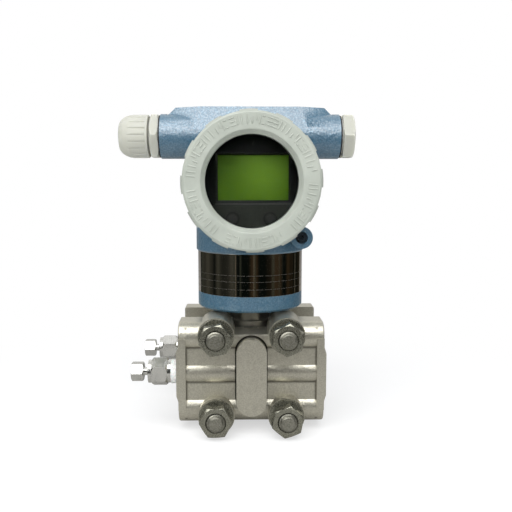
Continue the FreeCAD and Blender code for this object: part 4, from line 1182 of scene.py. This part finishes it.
@dataclass
class Studio:
    """The camera, the lamps, the floor and the world."""

    camera_at: Point = (-7.63, -374.99, 136.85)
    tilt: float = -6.07
    turn: float = -1.29
    lens: float = 43.6
    sensor_width: float = 36.0
    clip_start_m: float = 0.01
    shift: tuple[float, float] = (0.0090, -0.0015)
    lamps: list[tuple[str, Point, tuple[float, float], float]] = field(default_factory=lambda: [
        ("key", (-110.0, -600.0, 690.0), (1150.0, 1100.0), 12.4),
        ("fill", (700.0, -420.0, 260.0), (400.0, 500.0), 0.4),
        ("top", (-40.0, 200.0, 900.0), (1100.0, 400.0), 0.7),
    ])
    aim: Point = (0.0, 0.0, 90.0)
    floor_half_m: float = 6.0
    floor_fade: tuple[float, float] = (60.0, 260.0)
    card_radius: float = 260.0
    cards: list[tuple[float, float, float]] = field(default_factory=lambda: [
        (2.0, 92.0, 270.0), (92.0, 230.0, 50.0)])

    def build(self) -> None:
        """Set up the whole studio."""
        self.set_camera()
        for lamp in self.lamps:
            self.add_lamp(*lamp)
        self.add_floor()
        self.add_dark_cards()
        self.set_world()

    def set_camera(self) -> None:
        """Put the camera at the photograph's place."""
        data = bpy.data.cameras.new("camera")
        data.lens = self.lens
        data.sensor_width = self.sensor_width
        data.shift_x, data.shift_y = self.shift
        data.clip_start = self.clip_start_m
        camera = bpy.data.objects.new("camera", data)
        camera.location = Vector(self.camera_at) * MM
        camera.rotation_euler = (math.radians(90.0 + self.tilt), 0.0, math.radians(self.turn))
        bpy.context.scene.collection.objects.link(camera)
        bpy.context.scene.camera = camera

    def add_lamp(self, name: str, at: Point, size: tuple[float, float], power: float) -> None:
        """Add one soft lamp that points at the object.

        Args:
            name: the lamp's name.
            at: its place.
            size: the width and height of its face.
            power: its power in watts.
        """
        data = bpy.data.lights.new(name, "AREA")
        data.shape = "RECTANGLE"
        data.size, data.size_y = (side * MM for side in size)
        data.energy = power
        lamp = bpy.data.objects.new(name, data)
        lamp.location = Vector(at) * MM
        lamp.rotation_euler = (Vector(self.aim) - Vector(at)).to_track_quat("-Z", "Y").to_euler()
        bpy.context.scene.collection.objects.link(lamp)

    def add_floor(self) -> None:
        """Lay the pale floor."""
        mesh = bmesh.new()
        bmesh.ops.create_grid(mesh, x_segments=1, y_segments=1, size=self.floor_half_m)
        data = bpy.data.meshes.new("floor")
        mesh.to_mesh(data)
        mesh.free()
        data.materials.append(self.floor_material())
        floor = bpy.data.objects.new("floor", data)
        bpy.context.scene.collection.objects.link(floor)

    def floor_material(self) -> bpy.types.Material:
        """Make a pale floor that fades to the white background and keeps the shadow.

        Returns:
            The floor's material.
        """
        g = Graph("floor")
        seen = g.node("ShaderNodeLightPath", output="Is Camera Ray")
        away = g.node("ShaderNodeVectorMath", {0: g.place()}, output="Value", operation="LENGTH")
        mirrored = g.node("ShaderNodeLightPath", output="Is Glossy Ray")
        plain = g.node("ShaderNodeBsdfDiffuse", {"Color": g.mix(mirrored, (0.84, 0.84, 0.83),
                                                                (0.40, 0.39, 0.37))})
        pale = g.node("ShaderNodeBsdfDiffuse", {"Color": (0.9, 0.9, 0.9)})
        white = g.node("ShaderNodeEmission", {"Color": (1.0, 1.0, 1.0), "Strength": 1.0})
        shown = g.node("ShaderNodeMixShader", {0: away.step(*self.floor_fade) * 0.42 + 0.58,
                                               1: pale, 2: white})
        return g.close(g.node("ShaderNodeMixShader", {0: seen, 1: plain, 2: shown}))

    def add_dark_cards(self) -> None:
        """Stand curved dark cards before the object, for polished metal and glass to show."""
        data = bpy.data.meshes.new("dark_cards")
        mesh = bmesh.new()
        for low, high, angle in self.cards:
            foot = [mesh.verts.new((self.card_radius * MM, 0.0, z * MM)) for z in (low, high)]
            edge = mesh.edges.new(foot)
            bmesh.ops.rotate(mesh, verts=foot, cent=(0, 0, 0),
                             matrix=Matrix.Rotation(math.radians(-90.0 - angle / 2), 3, "Z"))
            bmesh.ops.spin(mesh, geom=foot + [edge], cent=(0, 0, 0), axis=(0, 0, 1),
                           angle=math.radians(angle), steps=60)
        mesh.to_mesh(data)
        mesh.free()
        data.materials.append(self.card_material())
        card = bpy.data.objects.new("dark_cards", data)
        card.visible_camera = False
        card.visible_diffuse = False
        card.visible_shadow = False
        bpy.context.scene.collection.objects.link(card)

    def card_material(self) -> bpy.types.Material:
        """Make dark upright streaks of brown and black.

        Returns:
            The cards' material.
        """
        g = Graph("dark_card")
        streaks = g.noise(g.place((1.0, 1.0, 0.02)), 130.0, 1.0, 0.5)
        lines = g.noise(g.place((1.0, 1.0, 0.01)), 34.0, 1.0)
        across, _, rise = g.parts(g.place())
        tint = g.mix(across.step(-90.0, -20.0), (0.062, 0.062, 0.050), (0.042, 0.029, 0.015))
        colour = g.mix(streaks.step(0.40, 0.60), (0.003, 0.005, 0.004), tint)
        colour = g.mix(lines.step(0.55, 0.62) * 0.6, colour, (0.055, 0.062, 0.048))
        colour = g.mix(lines.step(0.68, 0.70) * 0.8, colour, (0.20, 0.17, 0.13))
        colour = g.mix(rise.step(94.0, 108.0), colour, (0.001, 0.002, 0.0015))
        return g.close(g.node("ShaderNodeEmission", {"Color": colour, "Strength": 1.0}))

    def set_world(self) -> None:
        """Light the world softly and show it white to the camera."""
        g = Graph("studio", sky=True)
        shown = (g.node("ShaderNodeLightPath", output="Is Camera Ray")
                 + g.node("ShaderNodeLightPath", output="Is Transmission Ray"))
        mirrored = g.node("ShaderNodeLightPath", output="Is Glossy Ray")
        towards = g.node("ShaderNodeNewGeometry", output="Incoming")
        right, _, rise = (part * -1.0 for part in g.parts(towards))
        glow = ((rise.step(0.15, 0.5) * 0.5 - rise.step(0.7, 0.95) * 0.5 + 0.5)
                * (1.0 - right.step(0.1, 0.7) * 0.5))
        soft = g.node("ShaderNodeBackground", {"Color": (0.93, 0.96, 1.0), "Strength": 0.55})
        sky = g.node("ShaderNodeBackground", {"Color": (1.0, 0.99, 0.96), "Strength": glow})
        white = g.node("ShaderNodeBackground", {"Color": (1.0, 1.0, 1.0), "Strength": 1.0})
        lit = g.node("ShaderNodeMixShader", {0: mirrored, 1: soft, 2: sky})
        bpy.context.scene.world = g.close(g.node("ShaderNodeMixShader",
                                                 {0: shown, 1: lit, 2: white}))


def main() -> None:
    """Build every sub-assembly and the studio."""
    logging.basicConfig(level=logging.INFO, format="%(message)s")
    for assembly in (ProcessEnd(), VentValves(), Housing(), FrontCover(), RearCover(),
                     Display(), Terminals(), ConduitEntries()):
        assembly.build()
    Studio().build()
    bpy.context.scene.view_settings.view_transform = "Standard"


if __name__ == "__main__":
    main()
